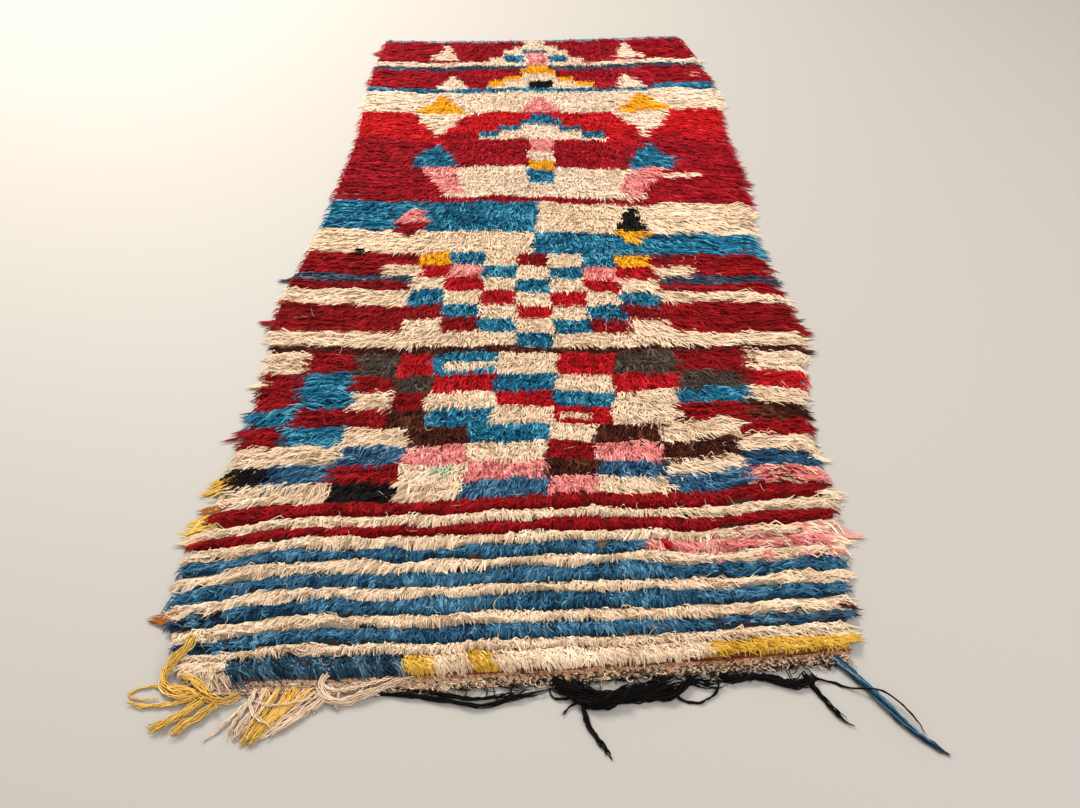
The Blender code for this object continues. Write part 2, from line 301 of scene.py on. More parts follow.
def add_bump(tree, shader, noise, strength, distance):
    bump = node_of(tree, "ShaderNodeBump")
    bump.inputs["Strength"].default_value = strength
    bump.inputs["Distance"].default_value = distance
    tree.links.new(noise.outputs["Fac"], bump.inputs["Height"])
    tree.links.new(bump.outputs["Normal"], shader.inputs["Normal"])


def wool(colour, painted_root_shade=0.30, fibre=0.35):
    """Yarn of one colour, with painted shade that darkens each strand towards its root. Its map holds the
    strand's tone across and its length upwards.
    """
    name = f"wool_{colour}_{round(painted_root_shade * 100)}"
    material = bpy.data.materials.get(name)
    if material:
        return material
    material, tree, shader = new_material(name)
    place = node_of(tree, "ShaderNodeUVMap", uv_map=UV_NAME)
    parts = node_of(tree, "ShaderNodeSeparateXYZ")
    tree.links.new(place.outputs["UV"], parts.inputs["Vector"])
    dark, middle, light = YARN_TONES[colour]
    tone = ramp_of(tree, parts.outputs["X"],
                   ((0.04, dark), (0.44, middle), (0.64, middle), (0.97, light)))
    # painted shade: the colour darkens towards the strand's root, where the strands shade one another
    shade = ramp_of(tree, parts.outputs["Y"],
                    ((0.0, grey(painted_root_shade)), (0.30, grey(0.5 + painted_root_shade / 2.0)),
                     (0.60, grey(1.0)), (1.0, grey(1.0))))
    stretch = node_of(tree, "ShaderNodeVectorMath", operation="MULTIPLY")
    tree.links.new(place.outputs["UV"], stretch.inputs[0])
    stretch.inputs[1].default_value = (170.0, 9.0, 1.0)
    streaks = node_of(tree, "ShaderNodeTexNoise", noise_dimensions="2D")
    streaks.inputs["Scale"].default_value = 1.0
    streaks.inputs["Detail"].default_value = 3.0
    tree.links.new(stretch.outputs["Vector"], streaks.inputs["Vector"])
    fibres = ramp_of(tree, streaks.outputs["Fac"],
                     ((0.30, grey(1.0 - fibre)), (0.62, grey(1.0))))
    coloured = mixed_by(tree, "MULTIPLY", tone, shade)
    coloured = mixed_by(tree, "MULTIPLY", coloured, fibres)
    tree.links.new(coloured, shader.inputs["Base Color"])
    rough = node_of(tree, "ShaderNodeMapRange")
    rough.inputs["To Min"].default_value = 0.95
    rough.inputs["To Max"].default_value = 0.72
    tree.links.new(streaks.outputs["Fac"], rough.inputs["Value"])
    tree.links.new(rough.outputs["Result"], shader.inputs["Roughness"])
    add_bump(tree, shader, streaks, 0.35, 0.0008)
    shader.inputs["Specular IOR Level"].default_value = 0.10
    shader.inputs["Sheen Weight"].default_value = 0.05
    shader.inputs["Sheen Roughness"].default_value = 0.45
    shader.inputs["Sheen Tint"].default_value = (*light, 1.0)
    return material


# ---------------------------------------------------------------- the pattern's chart

BLOCKS_SWAP = 1.242  # where the big teal and cream blocks change places
BLOCKS_MEET = 0.503  # and where they meet, across

# Bands right across or over part of the cloth. top and bottom are along, left and right across.
BANDS = (
    # top, bottom, left, right, colour
    (2.400, 2.340, 0.000, 1.000, "slate"),
    (2.340, 2.190, 0.000, 1.000, "crimson"),
    (2.190, 2.165, 0.000, 1.000, "cream"),
    (2.165, 2.135, 0.000, 1.000, "navy"),
    (2.135, 2.010, 0.000, 1.000, "crimson"),
    (2.010, 1.988, 0.000, 1.000, "teal"),
    (2.032, 1.988, 0.820, 0.985, "teal"),
    (1.988, 1.858, 0.000, 1.000, "cream"),
    (1.858, 1.715, 0.000, 1.000, "scarlet"),
    (1.715, 1.372, 0.000, 1.000, "crimson"),
    (1.372, BLOCKS_SWAP, 0.000, BLOCKS_MEET, "teal"),
    (BLOCKS_SWAP, 1.150, 0.000, BLOCKS_MEET, "cream"),
    (1.372, BLOCKS_SWAP, BLOCKS_MEET, 1.000, "cream"),
    (BLOCKS_SWAP, 1.155, BLOCKS_MEET, 1.000, "teal"),
    (1.152, 1.065, 0.000, 1.000, "crimson"),
    (1.065, 1.037, 0.000, 1.000, "navy"),
    (1.037, 1.005, 0.000, 1.000, "crimson"),
    (1.005, 0.952, 0.000, 1.000, "cream"),
    (0.952, 0.945, 0.000, 0.300, "cream"),
    (0.945, 0.866, 0.000, 0.300, "crimson"),
    (0.966, 0.866, 0.700, 1.000, "crimson"),
    (0.866, 0.815, 0.000, 1.000, "cream"),
    (0.815, 0.796, 0.000, 1.000, "brown"),
)

# The figured part is drawn on an even plan of its own. It is mirrored about this middle, across,
# apart from the triangles that stand alone and the small figure.
DESIGN_MIDDLE = 0.505

# Triangles in pairs, one on either side. The height is from tip to base, negative where it hangs.
PAIRED_TRIANGLES = (
    # from the middle, half width, base, height, colour
    (0.280, 0.045, 2.210, 0.10, "cream"),
    (0.250, 0.045, 2.010, 0.10, "cream"),
    (0.270, 0.070, 1.860, 0.12, "gold"),
    (0.270, 0.075, 1.858, -0.14, "cream"),
    (0.270, 0.070, 1.540, 0.15, "teal"),
)

# Triangles that stand alone
LONE_TRIANGLES = (
    # from the middle, half width, base, height, colour
    (0.000, 0.060, 1.858, 0.11, "pink"),
    (-0.285, 0.045, 1.275, 0.075, "pink"),
    (-0.285, 0.045, 1.275, -0.075, "crimson"),
    (0.215, 0.045, 1.260, -0.065, "gold"),
)

# The pale trapezoid: half widths at its top and bottom
TRAPEZOID = {"top": 1.548, "bottom": 1.400, "half_top": 0.205, "half_bottom": 0.240}
# Its pink corners: their edges from the middle, and how far these come in from its top down
PINK_CORNERS = {"inner": 0.215, "inner_slope": 0.03, "outer": 0.300, "outer_slope": 0.075,
                "start": -0.12, "end": 0.85}

# Stepped pyramids on the middle: each step is narrower by the same amount as it rises
PYRAMIDS = (
    # base, step height, half width of the lowest step, steps, body, colour of the treads or None
    (2.190, 0.040, 0.140, 4, "cream", None),
    (2.005, 0.045, 0.150, 3, "cream", "gold"),
    (1.706, 0.035, 0.165, 3, "cream", "teal"),
)

TREAD_FROM = 0.3  # where a tread's colour begins, as a share of its step's height

# Columns of blocks on the middle, from the top down, all of one height in each
COLUMNS = (
    # half width, top, block height, colours
    (0.030, 2.260, 0.045, "pink pink"),
    (0.030, 2.165, 0.040, "gold"),
    (0.030, 2.050, 0.045, "black"),
    (0.032, 1.846, 0.035, "teal"),
    (0.032, 1.690, 0.055, "pink cream gold teal"),
)
PYRAMID_CAP = (0.000, 0.040, 2.280, 2.256, "teal")  # inner, outer, top, bottom and colour
PYRAMID_FEET = (0.035, 0.095, 2.240, 2.190, "teal")
SMALL_FIGURE = (0.215, 1.262, 0.030, 0.036, 3, "black")  # as a pyramid, from the middle

# Single blocks and flecks
BLOCKS = (
    # left, right, top, bottom, colour
    (0.930, 0.950, 2.085, 2.055, "pink"),
    (0.070, 0.130, 1.534, 1.524, "cream"),
    (0.790, 0.880, 1.515, 1.500, "cream"),
    (0.030, 0.110, 1.404, 1.394, "cream"),
    (0.120, 0.150, 1.166, 1.138, "black"),
    (0.020, 0.085, 0.913, 0.905, "cream"),
    (0.090, 0.175, 0.733, 0.721, "cream"),
    (0.335, 0.435, 0.766, 0.759, "black"),
    (0.335, 0.435, 0.759, 0.752, "cream"),
    (0.555, 0.615, 0.607, 0.598, "cream"),
    (0.345, 0.385, 0.474, 0.452, "sage"),
    (0.558, 0.576, 0.380, 0.365, "amber"),
    (0.690, 0.706, 0.332, 0.318, "amber"),
    (0.195, 0.270, 1.105, 1.060, "cream"),
    (0.755, 0.820, 1.105, 1.068, "cream"),
)

# The diamond of small blocks in even columns: each row from its side block to its middle one
DIAMOND_HALF = 0.245
DIAMOND_COLUMNS = 7
DIAMOND = (
    # top, bottom, colours from the side to the middle
    (1.150, 1.100, "gold teal cream crimson"),
    (1.100, 1.055, "ruby pink teal cream"),
    (1.055, 1.006, "cream ruby cream teal"),
    (1.006, 0.955, "teal cream ruby cream"),
    (0.955, 0.908, "crimson teal cream ruby"),
    (0.908, 0.862, "cream crimson teal cream"),
    (0.862, 0.816, "cream cream cream teal"),
)

# The patchwork of larger blocks, in two sets of columns
PATCH_FAR_EDGES = (0.0, 0.088, 0.180, 0.252, 0.318, 0.435, 0.545, 0.648, 0.760, 0.882, 1.0)
PATCH_FAR = (
    # top, bottom, colours from left to right
    (0.796, 0.728, "cream crimson grey ruby teal cream ruby grey crimson cream"),
    (0.728, 0.676, "crimson teal crimson grey ruby teal cream ruby grey ruby"),
    (0.676, 0.627, "crimson teal cream crimson cream ruby teal cream teal cream"),
    (0.627, 0.577, "teal crimson crimson brown teal cream ruby cream crimson brown"),
)
PATCH_NEAR_EDGES = (0.0, 0.082, 0.190, 0.297, 0.403, 0.540, 0.622, 0.735, 0.862, 1.0)
PATCH_NEAR = (
    # top, bottom, colours from left to right
    (0.577, 0.530, "crimson teal cream brown teal cream brown cream crimson"),
    (0.530, 0.480, "cream cream azure pink cream crimson pink brown cream"),
    (0.480, 0.436, "black azure crimson cream pink brown azure cream azure"),
    (0.436, 0.396, "cream cream black cream azure pink cream azure pink"),
)

# The long stripes, from the far one to the near one
STRIPES_TOP = 0.396
STRIPES = (
    # depth, colour
    (0.037, "crimson"),
    (0.020, "cream"),
    (0.030, "crimson"),
    (0.023, "cream"),
    (0.028, "cobalt"),
    (0.025, "cream"),
    (0.030, "cobalt"),
    (0.023, "cream"),
    (0.031, "cobalt"),
    (0.025, "cream"),
    (0.028, "cobalt"),
    (0.018, "cream"),
)
MIXED_STRIPE = {"left": 0.695, "top": 0.2865, "bottom": 0.256}

RED_CHANGE = (1.655, 1.765)  # where the dark red gives way to the bright one, through a third
IVORY_ABOVE = 1.39  # the cream wool beyond this is the paler one
CHERRY_ABOVE = IVORY_ABOVE - 0.03  # and the dark red beyond this is the other one

# The last row of pile before the band
LAST_ROW = (
    # right end, colour
    (0.085, "cream"),
    # the last row's blue: a deep blue yarn, darkened further as painted shade
    (0.335, "indigo"),
    (0.378, "straw"),
    (0.425, "cream"),
    (0.468, "straw"),
    (0.775, "cream"),
    (1.001, "straw"),
)


class Chart:
    """The pattern at some places of the cloth, as a colour index for each, painted in turn."""

    def __init__(self, across, along):
        self.across = across
        self.along = along
        self.aside = np.abs(across - DESIGN_MIDDLE)
        self.found = np.full(across.shape, INDEX["crimson"])

    def paint(self, where, colour):
        self.found[where] = INDEX[colour]

    def holds(self, colour):
        return self.found == INDEX[colour]

    def level(self, top, bottom):
        return (self.along < top) & (self.along >= bottom)

    def box(self, left, right, top, bottom):
        return (self.across >= left) & (self.across < right) & self.level(top, bottom)

    def bands(self):
        for top, bottom, left, right, colour in BANDS:
            self.paint(self.box(left, right, top, bottom), colour)

    def reds(self):
        """The ragged change from the dark red to the bright one."""
        start, end = RED_CHANGE
        change = (self.along - start) / (end - start)
        change = change + 0.30 * wander(self.across * MEAN_WIDTH * 0.5, self.along * 2.0, 0.12, 15)
        inside = (self.along > start) & (self.along < end)
        self.paint(inside & (change < 0.35), "crimson")
        self.paint(inside & (change >= 0.35) & (change < 0.68), "ruby")
        self.paint(inside & (change >= 0.68), "scarlet")

    def trapezoid(self):
        shape, corners = TRAPEZOID, PINK_CORNERS
        down = (shape["top"] - self.along) / (shape["top"] - shape["bottom"])
        half = shape["half_top"] + (shape["half_bottom"] - shape["half_top"]) * down
        self.paint((down >= 0.0) & (down < 1.0) & (self.aside < half), "cream")
        corner = self.aside > corners["inner"] - corners["inner_slope"] * down
        corner &= self.aside < corners["outer"] - corners["outer_slope"] * down
        self.paint(corner & (down > corners["start"]) & (down < corners["end"]), "pink")

    def triangle(self, offset, half, base, height, colour):
        share = 1.0 - (self.along - base) / height
        inside = np.abs(self.across - DESIGN_MIDDLE - offset) < half * share
        self.paint((share > 0.0) & (share <= 1.0) & inside, colour)

    def pyramid(self, offset, base, step, half, steps, body, tread):
        reach = np.abs(self.across - DESIGN_MIDDLE - offset)
        for i in range(steps):
            outer = half * (steps - i) / steps
            low = base + step * i
            self.paint((reach < outer) & self.level(low + step, low), body)
            if tread:
                edge = (reach >= outer - half / steps) & (reach < outer)
                self.paint(edge & self.level(low + step, low + TREAD_FROM * step), tread)

    def figures(self):
        """The figured part, each motif mirrored about the middle or made for one side."""
        self.trapezoid()
        for offset, *rest in PAIRED_TRIANGLES:
            self.triangle(-offset, *rest)
            self.triangle(offset, *rest)
        for row in LONE_TRIANGLES:
            self.triangle(*row)
        for row in PYRAMIDS:
            self.pyramid(0.0, *row)
        self.pyramid(*SMALL_FIGURE, None)
        for inner, outer, top, bottom, colour in (PYRAMID_CAP, PYRAMID_FEET):
            self.paint((self.aside >= inner) & (self.aside < outer) & self.level(top, bottom), colour)
        for half, top, height, colours in COLUMNS:
            for i, colour in enumerate(colours.split()):
                high = top - i * height
                self.paint((self.aside < half) & self.level(high, high - height), colour)

    def checks(self):
        """The diamond of small blocks and the patchwork of larger ones."""
        pitch = 2.0 * DIAMOND_HALF / DIAMOND_COLUMNS
        for top, bottom, colours in DIAMOND:
            for i, colour in enumerate(reversed(colours.split())):
                ring = (self.aside < (i + 0.5) * pitch) & (self.aside >= (i - 0.5) * pitch)
                self.paint(ring & self.level(top, bottom), colour)
        for edges, rows in ((PATCH_FAR_EDGES, PATCH_FAR), (PATCH_NEAR_EDGES, PATCH_NEAR)):
            for top, bottom, colours in rows:
                for left, right, colour in zip(edges, edges[1:], colours.split()):
                    self.paint(self.box(left, right, top, bottom), colour)
        for left, right, top, bottom, colour in BLOCKS:
            self.paint(self.box(left, right, top, bottom), colour)

    def stripes(self):
        """The long stripes with their mixed yarns, and the last row."""
        x = self.across * MEAN_WIDTH
        top = STRIPES_TOP
        for depth, colour in STRIPES:
            self.paint(self.box(-1.0, 2.0, top, top - depth), colour)
            top -= depth
        flecks = wander(x, self.along * 2.0, 0.022, 6)
        pinks = self.holds("pink") & (self.along < 0.58) & (self.across > 0.80)
        self.paint(pinks & (flecks > 0.45), "crimson")
        self.paint(pinks & (flecks < -0.75), "cream")
        blues = self.holds("cobalt") & (self.along < 0.20)
        self.paint(blues & (self.along < 0.125) & (self.across > 0.70) & (flecks > 0.15), "navy")
        self.paint(blues & (self.across < 0.09) & (flecks > 0.10), "black")
        mixed = self.box(MIXED_STRIPE["left"], 2.0, MIXED_STRIPE["top"], MIXED_STRIPE["bottom"])
        self.paint(mixed, "pink")
        mixing = wander(x, self.along, 0.024, 5)
        self.paint(mixed & (mixing > 1.0), "cream")
        self.paint(mixed & (mixing < -1.0), "ruby")
        beside = self.box(0.80, 2.0, 0.312, 0.228) & self.holds("cream")
        self.paint(beside & (flecks > 0.42), "pink")
        left = -1.0
        for right, colour in LAST_ROW:
            self.paint(self.box(left, right, top, -1.0), colour)
            left = right

    def far_wools(self):
        """The paler cream and the other red of the far part."""
        self.paint(self.holds("cream") & (self.along > IVORY_ABOVE), "ivory")
        self.paint(self.holds("crimson") & (self.along > CHERRY_ABOVE), "cherry")


def chart(across, along):
    """The colour index of the pattern at each place of the cloth."""
    drawn = Chart(across, along)
    drawn.bands()
    drawn.reds()
    drawn.figures()
    drawn.checks()
    drawn.stripes()
    drawn.far_wools()
    return drawn.found


# ---------------------------------------------------------------- rows of knots and their relief

KNOT_ROW = 0.0162  # between rows of knots
KNOT_PITCH = 0.0092  # between knots along a row
PILE_NEAR = 0.042  # where the pile begins above the near band
STRIPED_BELOW = 0.394  # the part near the end where each stripe stands up as a ridge
SIDE_ROUND = 0.028  # how far in from a side the pile reaches its full height
CREST = 0.0125  # height of a row's ridge above the floor
GROUND_BOTTOM = 0.0004


def row_lines():
    """Where the rows of knots begin and end along the cloth, from the near end."""
    lines = [STRIPES_TOP]
    for depth, _ in STRIPES:
        lines.insert(0, lines[0] - depth)
    lines = [PILE_NEAR] + lines
    stops = {line for row in PATCH_NEAR + PATCH_FAR + DIAMOND for line in row[:2]}
    stops |= {line for band in BANDS if band[2] < 0.1 and band[3] > 0.9 for line in band[:2]}
    stops |= {BLOCKS_SWAP, TRAPEZOID["top"], TRAPEZOID["bottom"], FAR_END}
    for stop in sorted(stops):
        depth = stop - lines[-1]
        if 0.008 < depth and stop <= FAR_END:
            count = max(1, round(depth / KNOT_ROW))
            start = lines[-1]
            lines += [start + depth * (i + 1) / count for i in range(count)]
    return np.array(lines)


ROWS = row_lines()


def rounded(inset, reach):
    out = 1.0 - np.clip(inset / reach, 0.0, 1.0)
    return np.sqrt(np.clip(1.0 - out * out, 0.0, 1.0))


def relief(across, along):
    """Height of the tufts' bulk above the floor: a ridge for each row of knots."""
    row = np.clip(np.searchsorted(ROWS, along, side="right") - 1, 0, len(ROWS) - 2)
    depth = ROWS[row + 1] - ROWS[row]
    share = np.clip((along - ROWS[row]) / depth, 0.0, 1.0)
    striped = np.clip((STRIPED_BELOW - along) / 0.03, 0.0, 1.0)
    ridge = np.clip(np.sin(math.pi * share ** (0.88 - 0.20 * striped)), 0.0, 1.0) ** 0.6
    foot = 0.56 - 0.16 * striped
    x = across * MEAN_WIDTH
    height = CREST * (1.0 + 0.12 * striped) * (foot + (1.0 - foot) * ridge)
    height = height * (1.0 + 0.13 * wander(x, along * 1.6, 0.070, 41)
                       + 0.12 * wander(x, along * 3.0, 0.030, 42))
    side = np.minimum(across, 1.0 - across) * cloth_width(along)
    ends = rounded(along - PILE_NEAR + 0.004, 0.014) * rounded(FAR_END - along + 0.002, 0.012)
    return height * (0.16 + 0.84 * rounded(side, SIDE_ROUND) * ends)


# ---------------------------------------------------------------- strands

# Angles round a strand's section, in degrees: 270 is its top. An open section has no underside.
ARCH = (160.0, 270.0, 380.0)
RIBBON = (180.0, 360.0)
ABOVE_FLOOR = 0.0002  # no strand goes lower
NEARLY_UP = (0.11, 0.07, 1.0)  # leans a little, so that no strand runs along it


def strand_template(rings, sides, closed):
    """Faces of one strand, and for each face corner its place round and along it."""
    faces = []
    places = []
    line = sides if closed else sides + 1
    tip = rings * line
    for j in range(rings - 1):
        for k in range(sides):
            near = j * line + k
            near_next = j * line + (k + 1) % line
            far = near + line
            far_next = near_next + line
            low, high = k / sides, (k + 1) / sides
            start, end = j / rings, (j + 1) / rings
            faces += [(near, near_next, far_next), (near, far_next, far)]
            places += [((low, start), (high, start), (high, end)),
                       ((low, start), (high, end), (low, end))]
    last = (rings - 1) * line
    for k in range(sides):
        low, high = k / sides, (k + 1) / sides
        start = (rings - 1) / rings
        faces.append((last + k, last + (k + 1) % line, tip))
        places.append(((low, start), (high, start), ((low + high) / 2.0, 1.0)))
    if closed:
        for k in range(1, sides - 1):
            faces.append((0, k + 1, k))
            places.append(((0.0, 0.0), ((k + 1) / sides, 0.02), (k / sides, 0.02)))
    return np.array(faces), np.array(places)


def strands(centres, radii, tone, section=3, side_way=None, flatten=1.0):
    """Vertices, faces and map of many strands of the same make.

    centres holds each strand's ring centres and its tip, radii each ring's radius, and tone the
    strand's place from dark to light. section is a closed strand's number of sides, or the angles
    of an open one. side_way is each strand's sideways direction, or None to find it from its
    course. flatten is the strand's height as a share of its width.
    """
    count, points = centres.shape[:2]
    rings = points - 1
    if rings > 1:
        course = np.gradient(centres, axis=1)
    else:
        course = np.repeat(centres[:, 1:] - centres[:, :1], 2, axis=1)
    course = unit(course, 1e-12)
    if side_way is None:
        across = unit(np.cross(course, NEARLY_UP))
    else:
        across = np.broadcast_to(side_way[:, None, :], course.shape)
    under = unit(np.cross(course, across), 1e-12)
    closed = isinstance(section, int)
    sides = section if closed else len(section) - 1
    turn = (-math.pi / 2.0 + 2.0 * math.pi * np.arange(sides) / sides if closed
            else np.radians(section))
    reach = radii[:, :, None, None]
    places = (centres[:, :rings, None, :]
              + reach * np.cos(turn)[None, None, :, None] * across[:, :rings, None, :]
              + reach * flatten * np.sin(turn)[None, None, :, None] * under[:, :rings, None, :])
    vertices = np.concatenate(
        [places.reshape(count, rings * len(turn), 3), centres[:, rings:, :]], axis=1)
    vertices[:, :, 2] = np.maximum(vertices[:, :, 2], ABOVE_FLOOR)
    faces, local = strand_template(rings, sides, closed)
    start = MAP_MARGIN + np.clip(tone, 0.0, 1.0) * (MAP_LENGTH - STRAND_SPAN)
    uv = np.empty((count, *local.shape))
    uv[..., 0] = start[:, None, None] + STRAND_SPAN * local[None, ..., 0]
    uv[..., 1] = MAP_MARGIN + MAP_LENGTH * local[None, ..., 1]
    return {"vertices": vertices, "faces": faces, "uv": uv}


def triangles_in(batch):
    return len(batch["vertices"]) * len(batch["faces"])


def unit(vectors, tiny=1e-9):
    return vectors / (np.linalg.norm(vectors, axis=-1, keepdims=True) + tiny)


def walked(angles):
    """Where steps of length 1 in these directions lead, as x and y from the start."""
    return (np.concatenate([[0.0], np.cumsum(turned(angles[:-1]))]) for turned in (np.cos, np.sin))


def joined_mesh(name, batches):
    """One mesh of several batches of strands."""
    vertices, faces, uv = [], [], []
    base = 0
    for batch in batches:
        count, per_strand = batch["vertices"].shape[:2]
        offsets = base + np.arange(count) * per_strand
        vertices.append(batch["vertices"].reshape(-1, 3))
        faces.append((batch["faces"][None] + offsets[:, None, None]).reshape(-1))
        uv.append(batch["uv"].reshape(-1, 2))
        base += count * per_strand
    vertices, faces, uv = (np.concatenate(values) for values in (vertices, faces, uv))
    mesh = bpy.data.meshes.new(name)
    mesh.vertices.add(len(vertices))
    mesh.vertices.foreach_set("co", vertices.astype(np.float32).ravel())
    mesh.loops.add(len(faces))
    mesh.loops.foreach_set("vertex_index", faces.astype(np.int32))
    mesh.polygons.add(len(faces) // 3)
    mesh.polygons.foreach_set("loop_start", np.arange(0, len(faces), 3, dtype=np.int32))
    mesh.polygons.foreach_set("use_smooth", np.ones(len(faces) // 3, bool))
    layer = mesh.uv_layers.new(name=UV_NAME, do_init=False)
    layer.uv.foreach_set("vector", uv.astype(np.float32).ravel())
    mesh.update(calc_edges=True)
    return mesh


def add_piece(name, mesh, material):
    mesh.materials.append(material)
    piece = placed(bpy.data.objects.new(name, mesh))
    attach(piece, "root")
    return piece


# ---------------------------------------------------------------- the pile

SIDE_INSET = 0.032  # from the cloth's outline in to the outermost knots
PIECE_TRIANGLES = 185_000
STRAND_AREA = {"near": 25e-6, "far": 30e-6}  # cloth for each strand, in square metres
NEAR_PART = 0.80  # the strands below this are finer and looser
HAIR_SHARE = {"near": 0.72, "far": 0.44}  # loose hairs for each strand

# Bare places where the knots have worn away: across, along, radius
BARE_SPOTS = (
    (0.440, 0.262, 0.011),
    (0.632, 0.281, 0.008),
    (0.655, 0.276, 0.008),
    (0.452, 0.158, 0.008),
    (0.200, 0.062, 0.004),
    (0.555, 0.048, 0.010),
)


def lie_aside(across, along):
    """How far the tufts turn to the left (-1) or to the right (+1) instead of the near end."""
    x = across * MEAN_WIDTH
    drift = 0.045 * wander(x, along * 2.0, 0.22, 23)
    broad = np.clip((0.46 - along) / 0.10, 0.0, 1.0)
    left = np.clip((0.40 + 0.14 * broad + drift - across) / (0.27 + 0.06 * broad), 0.0, 1.0)
    right = np.clip((across - 0.60 + drift) / 0.27, 0.0, 1.0)
    right, left = (side * side * (3.0 - 2.0 * side) for side in (right, left))
    left *= 1.0 - 0.42 * broad * np.clip((across - 0.03) / 0.08, 0.0, 1.0)
    last = np.clip((ROWS[1] + 0.004 - along) / 0.006, 0.0, 1.0)
    fan = np.clip((0.105 - across) / 0.09, 0.0, 1.0)
    left *= 1.0 - last * (1.0 - 0.75 * fan)
    right *= 1.0 - 0.45 * last
    return right - left


# How far the tufts reach past the left and right sides, against the usual
SIDE_REACH = np.array((
    # along, left, right
    (0.000, 0.74, 0.84), (0.150, 0.76, 0.84), (0.200, 0.88, 0.86), (0.270, 1.07, 0.98),
    (0.340, 0.99, 0.96), (0.600, 0.95, 1.06), (0.800, 0.92, 1.30), (1.240, 0.90, 1.52),
    (1.480, 0.86, 1.50), (1.900, 0.90, 1.32), (2.350, 0.95, 1.10),
))


def side_share(along):
    return np.array([np.interp(along, SIDE_REACH[:, 0], SIDE_REACH[:, i]) for i in (1, 2)])


def in_corner(across, along):
    """The cream tuft that fans out over the near left corner."""
    return (along < ROWS[1]) & (across < 0.098)


def make_knots():
    """The knots of every row, as one table of arrays."""
    across, along, depth, low, side_reach = [], [], [], [], []
    for bottom, top in zip(ROWS, ROWS[1:]):
        middle = (bottom + top) / 2.0
        inset = SIDE_INSET / float(cloth_width(middle))
        count = round(float(cloth_width(middle)) / KNOT_PITCH)
        places = inset + (1.0 - 2.0 * inset) * (np.arange(count) + 0.5) / count
        across.append(places)
        along.append(np.full(count, middle))
        depth.append(np.full(count, top - bottom))
        low.append(np.full(count, bottom))
        left_reach, right_reach = RANDOM.uniform((0.78, 0.90), (1.20, 1.10)) * side_share(middle)
        side_reach.append(np.where(places < 0.5, left_reach, right_reach))
    across, along, depth, low, side_reach = (
        np.concatenate(values) for values in (across, along, depth, low, side_reach))
    count = len(across)
    x = across * MEAN_WIDTH
    aside = lie_aside(across, along)
    noise = np.where(along < NEAR_PART, 15.0, 9.0)
    swing = (20.0 * wander(x, along, 0.21, 21) + 13.0 * wander(x, along, 0.07, 22)
             + RANDOM.normal(0.0, 1.0, count) * noise)
    # the last row hangs a little to the right over its middle, and its left corner fans out
    last = along < ROWS[1]
    swing = np.where(last, 0.5 * swing + 24.0 * np.clip((across - 0.40) / 0.10, 0.0, 1.0), swing)
    swing = np.where(in_corner(across, along), -24.0 + RANDOM.normal(0.0, 6.0, count), swing)
    heading = -90.0 + 80.0 * aside + (1.0 - 0.6 * np.abs(aside)) * swing
    # the pattern shows where a tuft lies, not where it is knotted
    seen = 0.28 * (0.022 + 0.022 * np.abs(aside)) * np.cos(np.radians(heading)) / MEAN_WIDTH
    seen = np.where(along < PILE_NEAR + 0.03, 0.0, seen)
    return {
        "across": across, "along": along, "depth": depth, "low": low, "side_reach": side_reach,
        "colour": chart(across + seen, along), "aside": np.abs(aside),
        "heading": np.radians(heading),
        "tone": (0.50 + 0.11 * wander(x * 0.5, along * 2.0, 0.12, 31)
                 + RANDOM.normal(0.0, 0.17, count)),
        "lift": RANDOM.normal(0.0, 0.0019, count),
        "curl": RANDOM.normal(0.0, 0.12, count),
    }


def not_bare(across, along):
    """Which roots stand clear of the worn places."""
    clear = np.ones(across.shape, bool)
    for spot_across, spot_along, radius in BARE_SPOTS:
        dx = (across - spot_across) * MEAN_WIDTH
        dy = along - spot_along
        clear &= (dx / 1.5) ** 2 + dy ** 2 > radius ** 2
    return clear


def spread_strands(knots, part, hairs):
    """Roots and looks of the strands in one part of the pile: one row of arrays per strand."""
    near = part == "near"
    chosen = knots["along"] < NEAR_PART if near else knots["along"] >= NEAR_PART
    wanted = knots["depth"][chosen] * KNOT_PITCH / STRAND_AREA[part]
    wanted *= 1.0 - 0.36 * knots["aside"][chosen]
    wanted *= np.where(in_corner(knots["across"], knots["along"])[chosen], 1.9, 1.0)
    if hairs:
        wanted *= HAIR_SHARE[part]
    times = np.floor(wanted + RANDOM.uniform(0.0, 1.0, len(wanted))).astype(int)
    table = {name: np.repeat(values[chosen], times) for name, values in knots.items()}
    count = len(table["across"])
    table["offset"] = RANDOM.uniform(-0.62, 0.62, count) * KNOT_PITCH / MEAN_WIDTH
    table["across"] = table["across"] + table["offset"]
    striped = table["along"] < STRIPED_BELOW
    spread = RANDOM.uniform(0.0, 1.0, count)
    in_stripe = (0.40 - 0.32 * table["aside"]) + (0.64 + 0.20 * table["aside"]) * spread
    share = np.where(striped, in_stripe, 0.38 + 0.82 * spread)
    table["drop"] = table["depth"] * share
    table["along"] = table["low"] + table["drop"]
    clear = not_bare(table["across"], table["along"])
    return {name: values[clear] for name, values in table.items()}


# Steps along a strand from its root: forward as a share of its reach, up in metres, sideways bend
STRAND_STEPS = {
    "near": ((0.0, -0.0025, 0.0), (0.44, 0.0034, 0.5), (0.84, 0.0022, -0.2), (1.0, 0.0006, -0.4)),
    "far": ((0.0, -0.0025, 0.0), (0.68, 0.0034, 0.5), (1.0, 0.0008, -0.2)),
}
STRAND_SWELL = {"near": (0.75, 1.0, 0.82), "far": (0.80, 0.95)}
STRAND_WIDTH = {"near": (0.0011, 0.0021), "far": (0.0014, 0.0024)}
LONG_REACH = 0.043  # of a strand that lies towards a side
HAIR_REACH = 0.0115
HAIR_WIDTH = (0.0007, 0.0014)
HAIR_STEPS = {
    "near": ((0.0, 0.0010, 0.0), (0.35, 0.0046, 0.3), (0.72, 0.0048, 0.2), (1.0, 0.0022, -0.3)),
    "far": ((0.0, 0.0010, 0.0), (0.55, 0.0050, 0.3), (1.0, 0.0026, -0.1)),
}


